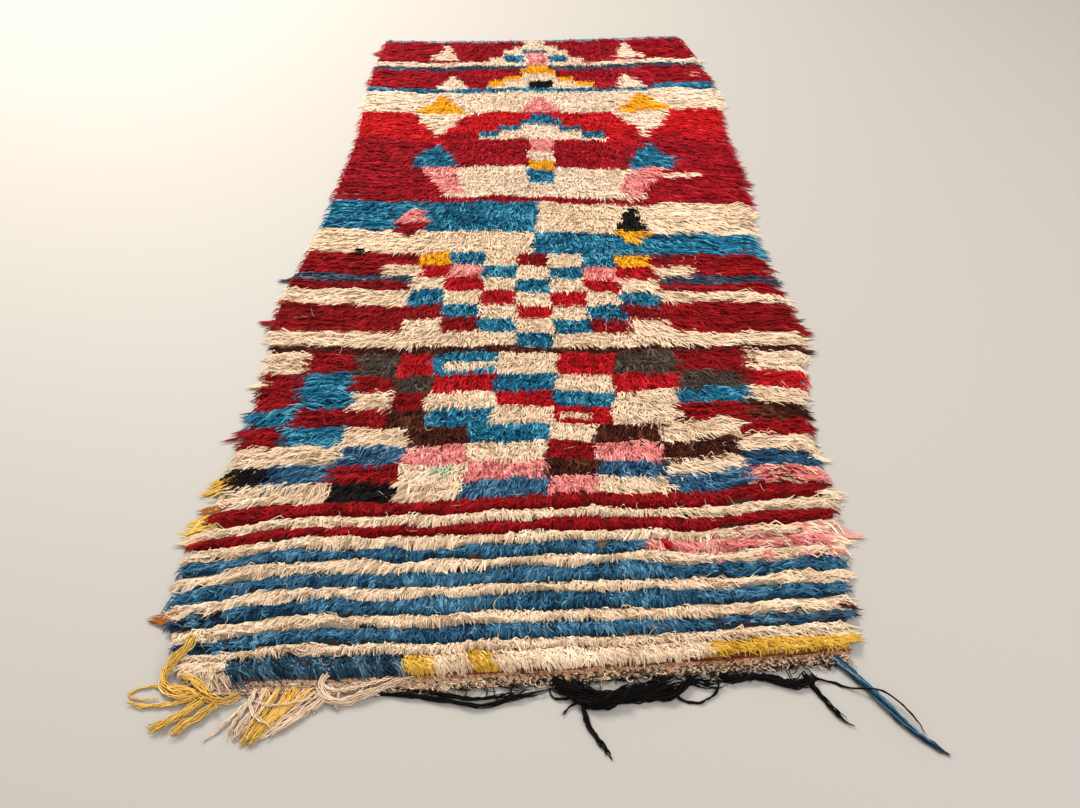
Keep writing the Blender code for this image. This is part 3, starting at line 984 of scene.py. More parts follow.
def strand_course(table, steps, reach):
    """Ring centres of strands that set out from their roots and lie over the relief."""
    count = len(reach)
    ahead = np.stack([np.cos(table["heading"]), np.sin(table["heading"])], 1)
    aside = np.stack([-ahead[:, 1], ahead[:, 0]], 1)
    centres = np.empty((count, len(steps), 3))
    for i, (forward, up, bend) in enumerate(steps):
        step = ahead * (reach * forward)[:, None] + aside * (reach * table["curl"] * bend)[:, None]
        across = table["across"] + step[:, 0] / MEAN_WIDTH - 0.60 * forward * table["offset"]
        drawn = (table["drop"] - 0.55 * table["depth"]) * table["aside"]
        along = table["along"] + step[:, 1] - 0.55 * forward * drawn
        x, y = laid(across, along)
        centres[:, i, 0] = x
        centres[:, i, 1] = y
        side = np.minimum(across, 1.0 - across) * MEAN_WIDTH
        held = 0.25 + 0.75 * rounded(side + 0.006, SIDE_ROUND)
        over = np.where(up > 0.0, up * held, up)
        centres[:, i, 2] = relief(across, along) + over + table["lift"] * held * forward
    return centres


def mottle(colour):
    """How much the tone changes from strand to strand."""
    blue, red = (np.isin(colour, [INDEX[name] for name in names]) for names in (BLUES, REDS))
    return np.where(blue, 0.24, np.where(red, 0.21, 0.16))


def tuft_reach(table, count):
    """How far each strand of the tufts reaches."""
    in_stripes = table["along"] < STRIPED_BELOW
    pale = table["colour"] == INDEX["cream"]
    short = np.clip(table["depth"] * 1.15, 0.019, 0.027) * RANDOM.uniform(0.75, 1.15, count)
    tucked = table["drop"] * RANDOM.uniform(0.80, 1.20, count) * np.where(pale, 1.16, 1.0)
    short = np.where(in_stripes, np.clip(tucked, 0.010, 0.032), short)
    last = table["along"] < ROWS[1]
    short = np.where(last, table["drop"] + RANDOM.uniform(0.000, 0.010, count), short)
    long = LONG_REACH * RANDOM.uniform(np.where(table["across"] < 0.5, 0.76, 0.86), 1.10, count)
    long *= table["side_reach"]
    from_side = np.minimum(table["across"], 1.0 - table["across"])
    long *= 1.0 - 0.34 * np.clip((from_side - 0.05) / 0.08, 0.0, 1.0) * in_stripes
    # in the stripes the cream yarn is longer than the red
    red = (table["colour"] == INDEX["crimson"]) | (table["colour"] == INDEX["ruby"])
    long *= np.where(in_stripes & pale, 1.14, np.where(in_stripes & red, 0.80, 1.0))
    return short + (long - short) * table["aside"]


def tuft_strands(knots, part):
    """The strands of one part's tufts: their colours, and what strands() takes."""
    near = part == "near"
    table = spread_strands(knots, part, hairs=False)
    count = len(table["across"])
    table["heading"] = table["heading"] + np.radians(
        RANDOM.normal(0.0, 1.0, count) * (17.0 if near else 14.0) * (1.0 - 0.70 * table["aside"]))
    table["curl"] = table["curl"] + RANDOM.normal(0.0, 0.22 if near else 0.12, count)
    table["lift"] = table["lift"] + RANDOM.normal(0.0, 0.0010, count)
    reach = tuft_reach(table, count)
    corner = in_corner(table["across"], table["along"])
    reach = np.where(corner, RANDOM.uniform(0.020, 0.050, count), reach)
    table["lift"] = np.where(corner, RANDOM.uniform(0.001, 0.005, count), table["lift"])
    centres = strand_course(table, STRAND_STEPS[part], reach)
    width = RANDOM.uniform(*STRAND_WIDTH[part], count)
    radii = width[:, None] * np.array(STRAND_SWELL[part])[None]
    tone = table["tone"] + RANDOM.normal(0.0, 1.0, count) * mottle(table["colour"])
    heading = table["heading"]
    aside = np.stack([np.sin(heading), -np.cos(heading), np.zeros(count)], 1)
    arrays = {"centres": centres, "radii": radii, "tone": tone, "side_way": aside}
    return table["colour"], arrays, {"section": ARCH, "flatten": 0.75}


def loose_hairs(knots, part):
    """The fine hairs over one part's tufts: their colours, and what strands() takes."""
    table = spread_strands(knots, part, hairs=True)
    count = len(table["across"])
    table["heading"] = table["heading"] + np.radians(
        RANDOM.normal(0.0, 32.0, count) * (1.0 - 0.45 * table["aside"]))
    table["curl"] = RANDOM.normal(0.0, 0.70, count) * (1.0 - 0.4 * table["aside"])
    centres = strand_course(table, HAIR_STEPS[part], HAIR_REACH * RANDOM.uniform(0.6, 1.3, count))
    centres[:, 1:, 2] += (RANDOM.uniform(-0.0016, 0.0012, count)
                          - 0.0016 * table["aside"])[:, None]
    radii = RANDOM.uniform(*HAIR_WIDTH, (count, 1)) * np.ones((1, len(HAIR_STEPS[part]) - 1))
    tone = table["tone"] + RANDOM.normal(0.0, 0.26, count)
    return table["colour"], {"centres": centres, "radii": radii, "tone": tone}, {"section": RIBBON}


def make_pile():
    """Every tuft of the pile, as pieces of one colour each. Returns the pieces."""
    knots = make_knots()
    groups = {}
    for part in ("near", "far"):
        for made in (tuft_strands, loose_hairs):
            colours, arrays, shape = made(knots, part)
            for index in np.unique(colours):
                chosen = {name: values[colours == index] for name, values in arrays.items()}
                groups.setdefault((COLOURS[index], part), []).append(strands(**chosen, **shape))
    for colour, part, batch in side_tuft_batches():
        groups.setdefault((colour, part), []).append(batch)

    pieces = []
    for (colour, part), batches in sorted(groups.items()):
        chunks = math.ceil(sum(triangles_in(batch) for batch in batches) / PIECE_TRIANGLES)
        orders = [np.array_split(np.argsort(batch["vertices"][:, 0, 1], kind="stable"), chunks)
                  for batch in batches]
        for i in range(chunks):
            chunk = [{"vertices": batch["vertices"][order[i]], "faces": batch["faces"],
                      "uv": batch["uv"][order[i]]} for batch, order in zip(batches, orders)]
            name = f"pile_{colour}_{part}" + (f"_{i + 1}" if chunks > 1 else "")
            mesh = joined_mesh(name, chunk)
            pieces.append(add_piece(name, mesh, wool(colour, 0.70, 0.26)))
    return pieces


# Long tufts that stand out past the sides
SIDE_TUFTS = (
    # side (0 left, 1 right), along, colour, reach
    (0, 0.1745, "amber", 0.038), (0, 0.1785, "amber", 0.040),
    (0, 0.330, "amber", 0.010), (0, 0.346, "cream", 0.052),
    (0, 0.366, "straw", 0.056), (0, 0.378, "straw", 0.048), (0, 0.402, "amber", 0.024),
    (0, 0.437, "straw", 0.046), (0, 0.452, "straw", 0.040), (0, 0.566, "crimson", 0.052),
    (0, 0.578, "crimson", 0.034), (0, 0.610, "teal", 0.028), (0, 0.700, "cream", 0.052),
    (0, 0.890, "crimson", 0.044), (0, 1.052, "navy", 0.044), (0, 2.262, "cherry", 0.040),
    (1, 0.065, "straw", 0.020), (1, 0.128, "brown", 0.024), (1, 0.196, "cream", 0.024),
    (1, 0.270, "cream", 0.036), (1, 0.288, "pink", 0.074), (1, 0.362, "cream", 0.034),
    (1, 0.470, "cream", 0.032), (1, 0.806, "brown", 0.050), (1, 0.868, "crimson", 0.048),
    (1, 1.050, "navy", 0.040), (1, 1.880, "ivory", 0.044), (1, 1.905, "ivory", 0.048),
    (1, 1.935, "ivory", 0.044), (1, 1.960, "ivory", 0.040), (1, 2.178, "ivory", 0.044),
)

SIDE_TUFT_STRANDS = 16
SIDE_TUFT_ROOT = 0.034  # from the side in to its knots
SIDE_TUFT_SWELL = (0.8, 1.0, 1.0, 0.8)


def side_tuft_batches():
    """The long side tufts, as a list of (colour, batch of strands)."""
    made = []
    share = np.linspace(0.0, 1.0, len(SIDE_TUFT_SWELL) + 1)
    inset = SIDE_TUFT_ROOT / MEAN_WIDTH
    for side, along, colour, reach in SIDE_TUFTS:
        count = SIDE_TUFT_STRANDS
        outward = 1.0 if side else -1.0
        across = (1.0 - inset if side else inset) + RANDOM.uniform(-0.006, 0.006, count)
        start = along + RANDOM.normal(0.0, 0.0045, count)
        lean = RANDOM.normal(-0.10, 0.10)
        length = (SIDE_TUFT_ROOT + reach * 0.55) * RANDOM.uniform(0.72, 1.08, count)
        gather = 1.0 - 0.35 * share ** 2
        out = outward * length[:, None] * share[None]
        path_across = across[:, None] + out / MEAN_WIDTH
        path_along = (along + (start - along)[:, None] * gather[None]
                      + length[:, None] * share[None] * (lean + RANDOM.normal(0.0, 0.05, (count, 1)))
                      + 0.0016 * np.sin(share[None] * 7.0 + RANDOM.uniform(0.0, 6.0, (count, 1))))
        x, y = laid(path_across, path_along)
        inside = np.minimum(path_across, 1.0 - path_across) * MEAN_WIDTH
        z = np.maximum(relief(path_across, path_along) + 0.003 * np.sin(share * 3.0)[None], 0.0022)
        z = np.where(inside < 0.0, 0.0022 + RANDOM.uniform(0.0, 0.004, (count, 1)), z)
        radii = RANDOM.uniform(0.0012, 0.0021, (count, 1)) * np.array(SIDE_TUFT_SWELL)[None]
        tone = np.full(count, RANDOM.uniform(0.4, 0.7)) + RANDOM.normal(0.0, 0.18, count)
        made.append((colour, "near" if along < NEAR_PART else "far",
                     strands(np.stack([x, y, z], -1), radii, tone, ARCH, None, 0.8)))
    return made


# ---------------------------------------------------------------- the ground weave

GROUND_CELL = 0.0165
GROUND_INSET = 0.016
GROUND_END = 0.0005  # how far it stops short of the cloth's two ends
GROUND_TOP = 0.0028  # the bare weave's upper face
GROUND_SUNK = 0.0032  # how far the bulk of the tufts is sunk into it
PILE_FOOT = 0.006  # over what distance the pile rises at its near end
SHADED_UNDER_TUFTS = 0.72  # painted shade: the tufts' bulk under the strands, as a share of a yarn's middle tone
GAP_BARE_AND_SHADE = (0.060, 0.030, 0.018)
# bare brown weave darkened by painted shade, in the gaps at the foot of some stripes
WORN_TINT = (0.16, 0.07, 0.035)


def ground_lines():
    """Where the ground's grid has its lines along the cloth: several for each row of knots."""
    lines = [NEAR_END + GROUND_END, (NEAR_END + PILE_NEAR) / 2.0]
    for low, high in zip(ROWS, ROWS[1:]):
        shares = (0.0, 0.16, 0.42, 0.72) if low < STRIPED_BELOW else (0.02, 0.30, 0.68)
        lines += [low + (high - low) * share for share in shares]
    return np.array(lines + [FAR_END - GROUND_END])


def make_ground():
    """The woven cloth with the bulk of the tufts on it, as one sheet. Returns it and its area."""
    columns = round(MEAN_WIDTH / GROUND_CELL)
    lines = ground_lines()
    rows = len(lines) - 1
    along, share = np.meshgrid(lines, np.arange(columns + 1) / columns, indexing="ij")
    inset = np.clip((along - NEAR_END) / 0.03, 0.05, 1.0) * GROUND_INSET / cloth_width(along)
    across = inset + share * (1.0 - 2.0 * inset)
    x, y = laid(across, along)
    in_pile = np.clip((along - PILE_NEAR + PILE_FOOT) / PILE_FOOT, 0.0, 1.0)
    z = GROUND_TOP + in_pile * np.clip(relief(across, along) - GROUND_SUNK, 0.0, 1.0)
    top = np.stack([x, y, z], -1).reshape(-1, 3)

    line = columns + 1
    cells = (np.arange(rows)[:, None] * line + np.arange(columns)[None]).reshape(-1)
    upper = np.stack([cells, cells + 1, cells + 1 + line, cells + line], 1)
    rim = np.concatenate([
        np.arange(line), np.arange(1, rows + 1) * line + columns,
        rows * line + np.arange(columns - 1, -1, -1), np.arange(rows - 1, 0, -1) * line])
    low_rim = len(top) + np.arange(len(rim))
    wall = np.stack([rim, low_rim, np.roll(low_rim, -1), np.roll(rim, -1)], 1)
    bottom = top[rim].copy()
    bottom[:, 2] = GROUND_BOTTOM
    mesh = bpy.data.meshes.new("ground_weave")
    faces = upper.tolist() + wall.tolist() + [low_rim[::-1].tolist()]
    mesh.from_pydata(np.concatenate([top, bottom]).tolist(), [], faces)
    add_tint(mesh, across, along, len(rim))
    low, high = top[:, :2].min(0), top[:, :2].max(0)
    add_map(mesh, (top[:, :2] - low) / (high - low) * (0.49, 0.98) + 0.005, upper, rim)
    mesh.update()
    piece = add_piece("ground_weave", mesh, ground_material())
    edge_x, edge_y = x.reshape(-1)[rim], y.reshape(-1)[rim]
    area = 0.5 * abs(float(np.sum(edge_x * np.roll(edge_y, -1) - edge_y * np.roll(edge_x, -1))))
    return piece, area


def add_tint(mesh, across, along, rim_count):
    """Colours the ground by the chart, darker than its tufts as painted shade, and bare where they leave it
    so.
    """
    across = ((across[1:, 1:] + across[:-1, :-1]) / 2.0).reshape(-1)
    along = ((along[1:, 1:] + along[:-1, :-1]) / 2.0).reshape(-1)
    tints = np.array([YARN_TONES[colour][1] for colour in COLOURS]) * SHADED_UNDER_TUFTS
    # painted shade: the blue tufts' bulk is darker still
    for name in BLUES:
        tints[INDEX[name]] *= 0.55
    colour = tints[chart(across, along)]
    bare = np.array(YARN_TONES["greige"][1])
    colour[along < PILE_NEAR] = bare
    # dark lines at the foot of some rows in the stripes: bare weave with painted shade
    foot = np.clip(np.searchsorted(ROWS, along, side="right") - 1, 0, len(ROWS) - 2)
    gap = along - ROWS[foot] < 0.13 * (ROWS[foot + 1] - ROWS[foot])
    gap &= wander(across * MEAN_WIDTH, along * 6.0, 0.12, 61) > 0.80
    colour[gap & (along < STRIPED_BELOW)] = GAP_BARE_AND_SHADE
    colour[~not_bare(across, along)] = WORN_TINT
    # the rim's walls and underside take the bare weave at half its tone: painted shade
    loops = np.concatenate([np.repeat(colour, 4, axis=0), np.tile(bare * 0.5, (5 * rim_count, 1))])
    loops = np.concatenate([loops, np.ones((len(loops), 1))], 1)
    layer = mesh.color_attributes.new("tint", "FLOAT_COLOR", "CORNER")
    layer.data.foreach_set("color", loops.astype(np.float32).ravel())


def add_map(mesh, flat, upper, rim):
    """The ground's map: its top on the left half, its rim as a strip and its underside."""
    rim_share = np.arange(len(rim)) / len(rim)
    level = np.zeros(len(rim))
    after = rim_share + 1.0 / len(rim)
    wall = np.stack([np.stack([level + 0.51, rim_share], 1), np.stack([level + 0.53, rim_share], 1),
                     np.stack([level + 0.53, after], 1), np.stack([level + 0.51, after], 1)], 1)
    under = (flat[rim] * (0.9, 0.98) + (0.545, 0.0))[::-1]
    places = np.concatenate([flat[upper.reshape(-1)], wall.reshape(-1, 2), under])
    layer = mesh.uv_layers.new(name=UV_NAME)
    layer.uv.foreach_set("vector", places.astype(np.float32).ravel())


def ground_material():
    material, tree, shader = new_material("ground_weave")
    tint = node_of(tree, "ShaderNodeVertexColor", layer_name="tint")
    place = node_of(tree, "ShaderNodeTexCoord")
    fuzz = node_of(tree, "ShaderNodeTexNoise")
    fuzz.inputs["Scale"].default_value = 340.0
    fuzz.inputs["Detail"].default_value = 3.0
    tree.links.new(place.outputs["Object"], fuzz.inputs["Vector"])
    shade = ramp_of(tree, fuzz.outputs["Fac"], ((0.30, grey(0.55)), (0.68, grey(1.0))))
    tree.links.new(mixed_by(tree, "MULTIPLY", tint.outputs["Color"], shade),
                   shader.inputs["Base Color"])
    add_bump(tree, shader, fuzz, 0.7, 0.002)
    shader.inputs["Roughness"].default_value = 0.95
    shader.inputs["Specular IOR Level"].default_value = 0.15
    return material


# ---------------------------------------------------------------- cords and loose yarns

def resampled(points, count):
    """count + 1 points evenly along a Catmull-Rom curve through the given ones."""
    points = np.array(points, float)
    held = np.concatenate([[2.0 * points[0] - points[1]], points, [2.0 * points[-1] - points[-2]]])
    fine = []
    for p0, p1, p2, p3 in zip(held, held[1:], held[2:], held[3:]):
        t = np.linspace(0.0, 1.0, 12, endpoint=False)[:, None]
        fine.append(0.5 * (2.0 * p1 + (p2 - p0) * t + (2.0 * p0 - 5.0 * p1 + 4.0 * p2 - p3) * t * t
                           + (3.0 * p1 - p0 - 3.0 * p2 + p3) * t ** 3))
    fine = np.concatenate([*fine, points[-1:]])
    run = np.concatenate([[0.0], np.cumsum(np.linalg.norm(np.diff(fine, axis=0), axis=1))])
    wanted = np.linspace(0.0, run[-1], count + 1)
    return np.stack([np.interp(wanted, run, fine[:, i]) for i in range(fine.shape[1])], 1), run[-1]


STRAND = 0.0015  # radius of the fine strands that the loose yarns are spun from


def hank(route, radius, pitch, rings, rng, fray=0.35, fullness=0.70, narrow=0.0):
    """Courses and radii of the fine strands of one loose yarn along a route of (x, y, z) points."""
    course, length = resampled(route, rings)
    course[:, :2] += PLAN_SHIFT
    way = unit(np.gradient(course, axis=0))
    aside = unit(np.cross(way, (0.0, 0.0, 1.0)))
    over = np.cross(aside, way)
    share = np.linspace(0.0, 1.0, rings + 1)
    count = max(3, round(fullness * (radius / STRAND) ** 2))
    courses, radii = [], []
    for i in range(count):
        orbit = (radius - 0.8 * STRAND) * math.sqrt((i + 0.5) / count)
        ends = share ** 4 + 0.3 * (1.0 - share) ** 6
        orbit = orbit * (1.0 + fray * abs(rng.normal(0.0, 1.0)) * ends) * (1.0 - narrow * share)
        orbit = orbit * (1.0 + 0.30 * np.sin(share * length * rng.uniform(90.0, 170.0)
                                             + rng.uniform(0.0, 6.3)))
        turn = 2.4 * i + 2.0 * math.pi * share * length / pitch * rng.uniform(0.6, 1.4)
        waver = 0.7 * STRAND * np.sin(share * length * rng.uniform(200.0, 380.0)
                                      + rng.uniform(0.0, 6.3))
        strand = (course + aside * (orbit * np.cos(turn) + waver)[:, None]
                  + over * (0.80 * orbit * np.sin(turn))[:, None])
        strand[:, 2] = np.maximum(strand[:, 2], 0.0011)
        low = int(rng.integers(0, max(1, rings // 14) + 1))
        high = rings - int(rng.integers(0, max(1, rings // 6) + 1))
        courses.append(resampled(strand[low:high + 1], rings)[0])
        thin = STRAND * rng.uniform(0.75, 1.25)
        radii.append(thin * (1.0 - 0.55 * share[:-1] ** 5))
    return np.array(courses), np.array(radii)


def frizz(courses, rng, count):
    """Short fine fibres that stand off the given strands."""
    ply = rng.integers(0, len(courses), count)
    at = rng.integers(1, courses.shape[1] - 1, count)
    root = courses[ply, at]
    way = unit(courses[ply, at] - courses[ply, at - 1])
    off = rng.normal(0.0, 1.0, (count, 3)) * (1.0, 1.0, 0.6)
    reach = rng.uniform(0.003, 0.009, count)[:, None]
    tip = root + (way * rng.uniform(0.3, 1.2, (count, 1)) + off * 0.6) * reach
    tip[:, 2] = np.maximum(tip[:, 2], 0.0008)
    return np.stack([root, tip], 1), rng.uniform(0.00025, 0.00045, (count, 1))


def cord_batch(courses, radii, tone, sides=5):
    return strands(np.array(courses), np.array(radii), np.array(tone), section=sides)


# The loose yarns that lie by the near end, each with its route in the plan
LOOSE_YARNS = (
    # colour, radius, pitch, route of (x, y, z)
    ("lemon", 0.0080, 0.22, (
        (-0.618, 0.086, 0.021), (-0.624, 0.062, 0.023), (-0.643, 0.040, 0.018), (-0.655, 0.019, 0.009),
        (-0.650, 0.001, 0.008), (-0.629, -0.013, 0.009), (-0.603, -0.018, 0.011), (-0.577, -0.012, 0.009))),
    ("lemon", 0.0068, 0.20, (
        (-0.628, 0.026, 0.012), (-0.604, 0.013, 0.013), (-0.581, -0.006, 0.012), (-0.560, -0.021, 0.011),
        (-0.541, -0.024, 0.008), (-0.514, -0.013, 0.006))),
    ("lemon", 0.0063, 0.24, (
        (-0.640, -0.001, 0.006), (-0.612, -0.005, 0.007), (-0.585, -0.015, 0.006), (-0.564, -0.024, 0.006),
        (-0.543, -0.027, 0.005))),
    ("lemon", 0.0032, 0.10, (
        (-0.616, -0.018, 0.007), (-0.651, 0.000, 0.004), (-0.680, 0.002, 0.003), (-0.703, -0.007, 0.003),
        (-0.706, -0.014, 0.003), (-0.685, -0.021, 0.003), (-0.652, -0.021, 0.004))),
    ("lemon", 0.0046, 0.12, (
        (-0.590, -0.020, 0.008), (-0.624, -0.027, 0.005), (-0.652, -0.031, 0.004), (-0.686, -0.031, 0.004),
        (-0.709, -0.026, 0.003))),
    ("lemon", 0.0071, 0.24, (
        (-0.574, -0.022, 0.008), (-0.601, -0.041, 0.006), (-0.620, -0.055, 0.006), (-0.640, -0.065, 0.006),
        (-0.657, -0.074, 0.005))),
    ("lemon", 0.0071, 0.24, (
        (-0.550, -0.027, 0.008), (-0.576, -0.048, 0.006), (-0.595, -0.062, 0.006), (-0.608, -0.073, 0.006),
        (-0.621, -0.083, 0.005))),
    ("ivory", 0.0040, 0.08, (
        (-0.490, -0.006, 0.005), (-0.508, -0.034, 0.004), (-0.521, -0.048, 0.004), (-0.536, -0.063, 0.004),
        (-0.550, -0.081, 0.003), (-0.566, -0.097, 0.002))),
    ("ivory", 0.0052, 0.16, (
        (-0.478, -0.003, 0.005), (-0.488, -0.037, 0.005), (-0.500, -0.055, 0.005), (-0.509, -0.070, 0.004),
        (-0.513, -0.091, 0.003))),
    ("lemon", 0.0055, 0.20, (
        (-0.455, -0.002, 0.006), (-0.467, -0.039, 0.006), (-0.478, -0.062, 0.006), (-0.498, -0.096, 0.004))),
    ("lemon", 0.0063, 0.20, (
        (-0.427, -0.002, 0.006), (-0.443, -0.042, 0.008), (-0.460, -0.064, 0.007), (-0.486, -0.098, 0.004))),
    ("lemon", 0.0048, 0.20, (
        (-0.397, 0.000, 0.006), (-0.427, -0.030, 0.008), (-0.448, -0.053, 0.008), (-0.474, -0.083, 0.004))),
    ("ivory", 0.0052, 0.16, (
        (-0.366, -0.012, 0.006), (-0.408, -0.046, 0.005), (-0.438, -0.067, 0.005), (-0.474, -0.089, 0.003))),
    ("ivory", 0.0034, 0.12, (
        (-0.492, -0.004, 0.008), (-0.495, -0.030, 0.010), (-0.483, -0.051, 0.012), (-0.467, -0.060, 0.013),
        (-0.450, -0.071, 0.009))),
    ("ivory", 0.0029, 0.12, (
        (-0.491, -0.025, 0.010), (-0.464, -0.032, 0.012), (-0.430, -0.030, 0.013), (-0.396, -0.022, 0.010),
        (-0.370, -0.012, 0.007))),
    ("ivory", 0.0031, 0.10, (
        (-0.366, -0.008, 0.005), (-0.379, -0.027, 0.004), (-0.393, -0.045, 0.003))),
    ("ivory", 0.0058, 0.40, (
        (-0.372, 0.028, 0.014), (-0.384, 0.008, 0.009), (-0.377, -0.010, 0.006), (-0.361, -0.022, 0.005),
        (-0.336, -0.025, 0.005), (-0.306, -0.013, 0.006), (-0.284, -0.003, 0.006), (-0.262, 0.009, 0.008))),
    ("ivory", 0.0036, 0.30, (
        (-0.353, -0.039, 0.003), (-0.352, -0.020, 0.007), (-0.347, -0.004, 0.008), (-0.322, 0.006, 0.007),
        (-0.290, 0.008, 0.006))),
    ("black", 0.0050, 0.26, (
        (-0.283, -0.008, 0.005), (-0.252, -0.012, 0.005), (-0.219, -0.014, 0.005), (-0.183, -0.019, 0.005),
        (-0.157, -0.023, 0.005), (-0.129, -0.030, 0.005), (-0.101, -0.029, 0.005), (-0.066, -0.019, 0.005),
        (-0.019, -0.007, 0.005), (0.012, -0.001, 0.005))),
    ("black", 0.0037, 0.20, (
        (-0.200, -0.004, 0.005), (-0.150, -0.016, 0.005), (-0.110, -0.018, 0.005), (-0.060, -0.010, 0.005),
        (-0.030, 0.000, 0.005))),
    ("black", 0.0094, 0.20, (
        (0.006, 0.014, 0.006), (0.028, 0.000, 0.008), (0.048, -0.018, 0.008), (0.075, -0.027, 0.008),
        (0.103, -0.024, 0.007), (0.124, -0.010, 0.007), (0.154, -0.001, 0.007), (0.188, 0.008, 0.006),
        (0.216, 0.019, 0.006))),
    ("black", 0.0077, 0.24, (
        (0.046, 0.014, 0.007), (0.052, -0.012, 0.010), (0.072, -0.028, 0.009), (0.116, -0.019, 0.006),
        (0.144, -0.017, 0.006), (0.177, -0.013, 0.006), (0.204, -0.013, 0.006), (0.226, 0.003, 0.006),
        (0.240, 0.014, 0.006), (0.278, 0.006, 0.005), (0.300, 0.014, 0.005))),
    ("black", 0.0028, 0.08, (
        (0.205, 0.001, 0.006), (0.221, -0.017, 0.003), (0.242, -0.023, 0.003), (0.262, -0.017, 0.003),
        (0.283, -0.001, 0.003), (0.287, 0.014, 0.004), (0.280, 0.027, 0.006))),
    ("black", 0.0052, 0.16, (
        (0.056, -0.026, 0.008), (0.061, -0.050, 0.005), (0.068, -0.067, 0.004), (0.080, -0.083, 0.004),
        (0.090, -0.099, 0.003), (0.100, -0.118, 0.002))),
    ("black", 0.0072, 0.20, (
        (0.288, 0.024, 0.006), (0.310, 0.017, 0.006), (0.337, 0.021, 0.006), (0.367, 0.022, 0.006),
        (0.392, 0.013, 0.006), (0.416, 0.012, 0.006), (0.434, 0.022, 0.006))),
    ("black", 0.0052, 0.15, (
        (0.430, 0.030, 0.006), (0.443, 0.010, 0.005), (0.456, -0.013, 0.004), (0.466, -0.029, 0.005),
        (0.481, -0.048, 0.004), (0.498, -0.063, 0.002))),
    ("black", 0.0030, 0.10, (
        (0.439, 0.036, 0.006), (0.453, 0.020, 0.004), (0.479, 0.013, 0.003), (0.502, 0.005, 0.004),
        (0.530, -0.001, 0.012), (0.552, -0.007, 0.017), (0.577, -0.023, 0.014), (0.594, -0.050, 0.014),
        (0.609, -0.078, 0.007))),
    ("indigo", 0.0074, 0.30, (
        (0.490, 0.056, 0.008), (0.512, 0.029, 0.008), (0.529, 0.009, 0.008), (0.547, -0.015, 0.008),
        (0.566, -0.042, 0.008), (0.583, -0.063, 0.007), (0.605, -0.082, 0.006), (0.624, -0.097, 0.004),
        (0.639, -0.109, 0.002))),
    ("black", 0.0120, 0.20, (
        (0.012, 0.008, 0.007), (0.034, -0.004, 0.009), (0.062, -0.018, 0.009), (0.095, -0.020, 0.009),
        (0.132, -0.008, 0.008), (0.165, 0.002, 0.007))),
    ("black", 0.0080, 0.20, (
        (0.036, 0.010, 0.008), (0.066, -0.006, 0.009), (0.104, -0.012, 0.008), (0.146, -0.006, 0.007),
        (0.190, 0.000, 0.006), (0.236, 0.008, 0.006))),
    ("black", 0.0026, 0.10, (
        (0.040, -0.014, 0.006), (0.018, -0.018, 0.004), (0.003, -0.010, 0.003), (0.004, 0.004, 0.004),
        (0.018, 0.010, 0.005))),
    ("black", 0.0022, 0.10, (
        (0.052, -0.020, 0.006), (0.030, -0.034, 0.003), (0.022, -0.046, 0.003))),
    ("black", 0.0075, 0.20, (
        (0.360, 0.024, 0.006), (0.388, 0.012, 0.007), (0.412, 0.008, 0.007), (0.436, 0.014, 0.007),
        (0.452, 0.026, 0.006))),
    ("black", 0.0042, 0.20, (
        (-0.262, 0.000, 0.005), (-0.215, -0.006, 0.005), (-0.170, -0.012, 0.005), (-0.128, -0.018, 0.006),
        (-0.090, -0.014, 0.005), (-0.052, -0.004, 0.005))),
    ("cobalt", 0.0040, 0.20, (
        (0.488, 0.050, 0.013), (0.516, 0.026, 0.013), (0.538, -0.002, 0.013), (0.562, -0.032, 0.013),
        (0.588, -0.066, 0.010), (0.616, -0.088, 0.006), (0.636, -0.106, 0.003))),
    ("slate", 0.0030, 0.30, (
        (0.484, 0.052, 0.012), (0.508, 0.028, 0.013), (0.533, 0.006, 0.013), (0.556, -0.024, 0.013),
        (0.584, -0.058, 0.011), (0.610, -0.084, 0.007), (0.633, -0.104, 0.003))),
    ("ivory", 0.0062, 0.40, (
        (-0.392, -0.004, 0.005), (-0.376, -0.020, 0.006), (-0.350, -0.024, 0.007), (-0.318, -0.016, 0.008),
        (-0.286, -0.004, 0.009), (-0.250, 0.010, 0.009), (-0.222, 0.018, 0.008))),
    ("ivory", 0.0042, 0.40, (
        (-0.388, 0.006, 0.007), (-0.360, -0.006, 0.009), (-0.328, -0.002, 0.010), (-0.296, 0.008, 0.009),
        (-0.262, 0.018, 0.008))),
)

# The fan of cream and yellow yarns left of the middle: where its first and last yarns begin and end
FAN = {
    "roots": ((-0.496, -0.002), (-0.364, -0.004)),
    "tips": ((-0.522, -0.092), (-0.478, -0.086)),
    "colours": "ivory cream ivory lemon cream lemon lemon peach "
               "lemon lemon ivory lemon cream peach ivory ivory",
}


def fan_yarns(rng):
    """The yarns of the fan, as rows like those of LOOSE_YARNS."""
    rows = []
    colours = FAN["colours"].split()
    (first, last), (first_tip, last_tip) = (np.array(FAN[name]) for name in ("roots", "tips"))
    for i, colour in enumerate(colours):
        share = (i + rng.uniform(0.2, 0.8)) / len(colours)
        root = first + (last - first) * share
        tip = first_tip + (last_tip - first_tip) * share + rng.normal(0.0, 0.006, 2)
        bow = rng.normal(0.006, 0.006)
        rise = 0.004 + 0.006 * rng.uniform()
        route = []
        for step, height in ((0.0, 0.005), (0.3, rise), (0.6, rise), (0.85, 0.004), (1.0, 0.003)):
            x, y = root + (tip - root) * step
            route.append((x + bow * 4.0 * step * (1.0 - step), y, height))
        rows.append((colour, rng.uniform(0.0028, 0.0044), 0.12, route))
    return rows


# For each piece, its slot and the yarn colours in it
YARN_PIECES = {
    "yellow_yarns": ("yellow_yarn", ("lemon", "peach")),
    "cream_yarns": ("cream_yarn", ("ivory", "cream")),
    "black_yarns": ("black_yarn", ("black",)),
    "blue_yarns": ("blue_yarn", ("indigo", "cobalt", "slate")),
}


